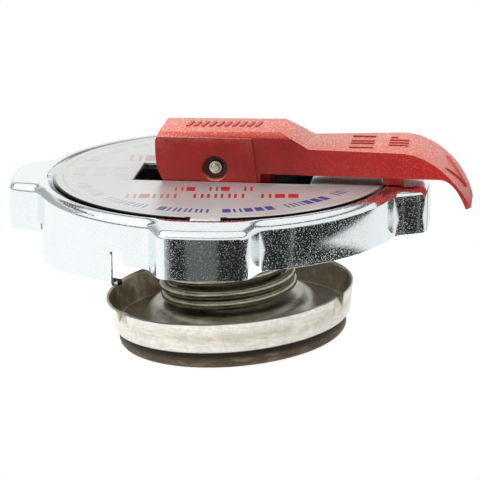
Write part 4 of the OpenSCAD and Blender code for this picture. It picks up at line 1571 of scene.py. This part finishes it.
def make_floor():
    """A white disc under the seal, clear from below, so that the underside can be seen."""
    seat = next(m for m in frame["record"]["mounts"] if m["name"] == "valve_seat")
    spot, up = Vector(seat["pos_m"]), -Vector(seat["axis"])
    spot.y = 0
    turns = np.linspace(0, WHOLE_TURN, FLOOR_STEPS, endpoint=False)
    rim = [(FLOOR_R * math.cos(a), FLOOR_R * math.sin(a), 0) for a in turns]
    made = mesh_object("floor", rim, [tuple(range(FLOOR_STEPS))])
    tilt = up.to_track_quat("Z", "Y").to_matrix().to_4x4()
    made.data.transform(Matrix.Translation(spot - up * FLOOR_GAP * MM) @ tilt)
    material, tree, shader, _ = new_material(
        "pale_floor", Roughness=0.9, Base_Color=(0.6, 0.6, 0.6, 1), Emission_Color=(1, 1, 1, 1),
        Emission_Strength=0.8)
    below = add_node(tree, "ShaderNodeNewGeometry").outputs["Backfacing"]
    clear = add_node(tree, "ShaderNodeBsdfTransparent").outputs[0]
    surface = add_node(tree, "ShaderNodeMixShader", {0: below, 1: shader.outputs[0], 2: clear}).outputs[0]
    tree.links.new(surface, tree.nodes["Material Output"].inputs["Surface"])
    made.data.materials.append(material)


# Dark stretches of the studio, in degrees: turn from, to and softness, the same of rise, and darkness
DARK_PATCHES = (
    (-113, -64, 6, -45, 2, 5, 0.90),
    (-113, -96, 6, -45, 2, 5, 1.0),
    (-88, -64, 6, -45, 2, 5, 1.0),
    (-72, -36, 4, -45, -6, 1.5, 1.0),
    (58, 74, 4, -40, -3, 3, 0.9),
    (88, 108, 4, -40, -3, 3, 0.9),
    (118, 200, 8, -4, 26, 5, 0.6),
    (-200, -128, 6, -4, 8, 2, 0.8),
    (-200, 200, 1, 29, 41, 3, 0.85),
)
# A dark stretch that is split by a bright wedge, in degrees
WEDGE_TURN = (-40, 27)
WEDGE_TURN_SOFT = 5
WEDGE_RISE = (-22.3, -7.0)
WEDGE_SOFT = 0.5
WEDGE_MIDDLE = -16.4
WEDGE_HALVES = (-2.0, 4.0)
SKY_LEFT = 1.08
SKY_RIGHT = 0.95
SKY_DARK = (0.02, 0.022, 0.02)
SKY_SEEN = (1, 1, 1)


def degree_window(tree, value, start, end, soft_by):
    return window(tree, value, math.radians(start), math.radians(end), math.radians(soft_by))


def dark_patch(tree, turn, rise, patch):
    turn_from, turn_to, turn_soft, rise_from, rise_to, rise_soft, share = patch
    return times(tree, degree_window(tree, turn, turn_from, turn_to, turn_soft),
                 degree_window(tree, rise, rise_from, rise_to, rise_soft), share)


def dark_wedge(tree, turn, rise):
    """A dark stretch without a wedge that widens from left to right."""
    half = mapped(tree, turn, *np.radians(WEDGE_TURN), *np.radians(WEDGE_HALVES))
    from_middle = maths(tree, "ABSOLUTE", maths(tree, "SUBTRACT", rise, math.radians(WEDGE_MIDDLE)))
    edge = math.radians(WEDGE_SOFT)
    outside = mapped(tree, maths(tree, "SUBTRACT", from_middle, half), -edge, edge)
    return times(tree, degree_window(tree, turn, *WEDGE_TURN, WEDGE_TURN_SOFT),
                 degree_window(tree, rise, *WEDGE_RISE, WEDGE_SOFT), outside)


def make_sky():
    """Bright all round, with darker stretches near the horizon that the metal mirrors."""
    world = bpy.data.worlds.new("studio")
    bpy.context.scene.world = world
    world.use_nodes = True
    tree = world.node_tree
    x, y, z = split(tree, add_node(tree, "ShaderNodeTexCoord").outputs["Generated"])
    turn = maths(tree, "ARCTAN2", y, x)
    rise = maths(tree, "ARCSINE", z)
    patches = [dark_patch(tree, turn, rise, patch) for patch in DARK_PATCHES]
    dark = largest(tree, *patches, dark_wedge(tree, turn, rise))
    light = mapped(tree, x, -1.0, 1.0, SKY_LEFT, SKY_RIGHT)
    bright = add_node(tree, "ShaderNodeCombineXYZ", {"X": light, "Y": light, "Z": light}).outputs[0]
    mirrored = mixed(tree, dark, bright, SKY_DARK)
    seen = add_node(tree, "ShaderNodeLightPath").outputs["Is Camera Ray"]
    tree.links.new(mixed(tree, seen, mirrored, SKY_SEEN), tree.nodes["Background"].inputs["Color"])


def make_light():
    """A soft light from the upper left, aimed at the middle of the cap."""
    spot = Vector((-250, -150, 350)) * MM
    lamp = bpy.data.lights.new("key_light", "AREA")
    lamp.size = 300 * MM
    lamp.energy = 1.6
    holder = placed("key_light", lamp)
    holder.location = spot
    holder.rotation_euler = (-spot).to_track_quat("-Z", "Y").to_euler()


def make_camera():
    """A long lens, a little to the right, looking down on the cap."""
    yaw, rise, roll = math.radians(7.73), math.radians(16.47), math.radians(-0.48)
    distance, target = 422.3, Vector((3.63, 0, -5.66))
    back = Vector((math.sin(yaw) * math.cos(rise), -math.cos(yaw) * math.cos(rise), math.sin(rise)))
    right = (-back).cross(Vector((0, 0, 1))).normalized()
    up = right.cross(-back)
    rolled_right = right * math.cos(roll) + up * math.sin(roll)
    rolled_up = up * math.cos(roll) - right * math.sin(roll)
    lens = bpy.data.cameras.new("camera")
    lens.sensor_width = 36
    lens.lens = 172.5
    lens.clip_start = 10 * MM
    lens.clip_end = 10000 * MM
    holder = placed("camera", lens)
    turn = Matrix((rolled_right, rolled_up, back)).transposed().to_4x4()
    holder.matrix_world = Matrix.Translation((target + back * distance) * MM) @ turn
    bpy.context.scene.camera = holder


make_floor()
make_sky()
make_light()
make_camera()
bpy.context.scene.view_settings.view_transform = "Standard"
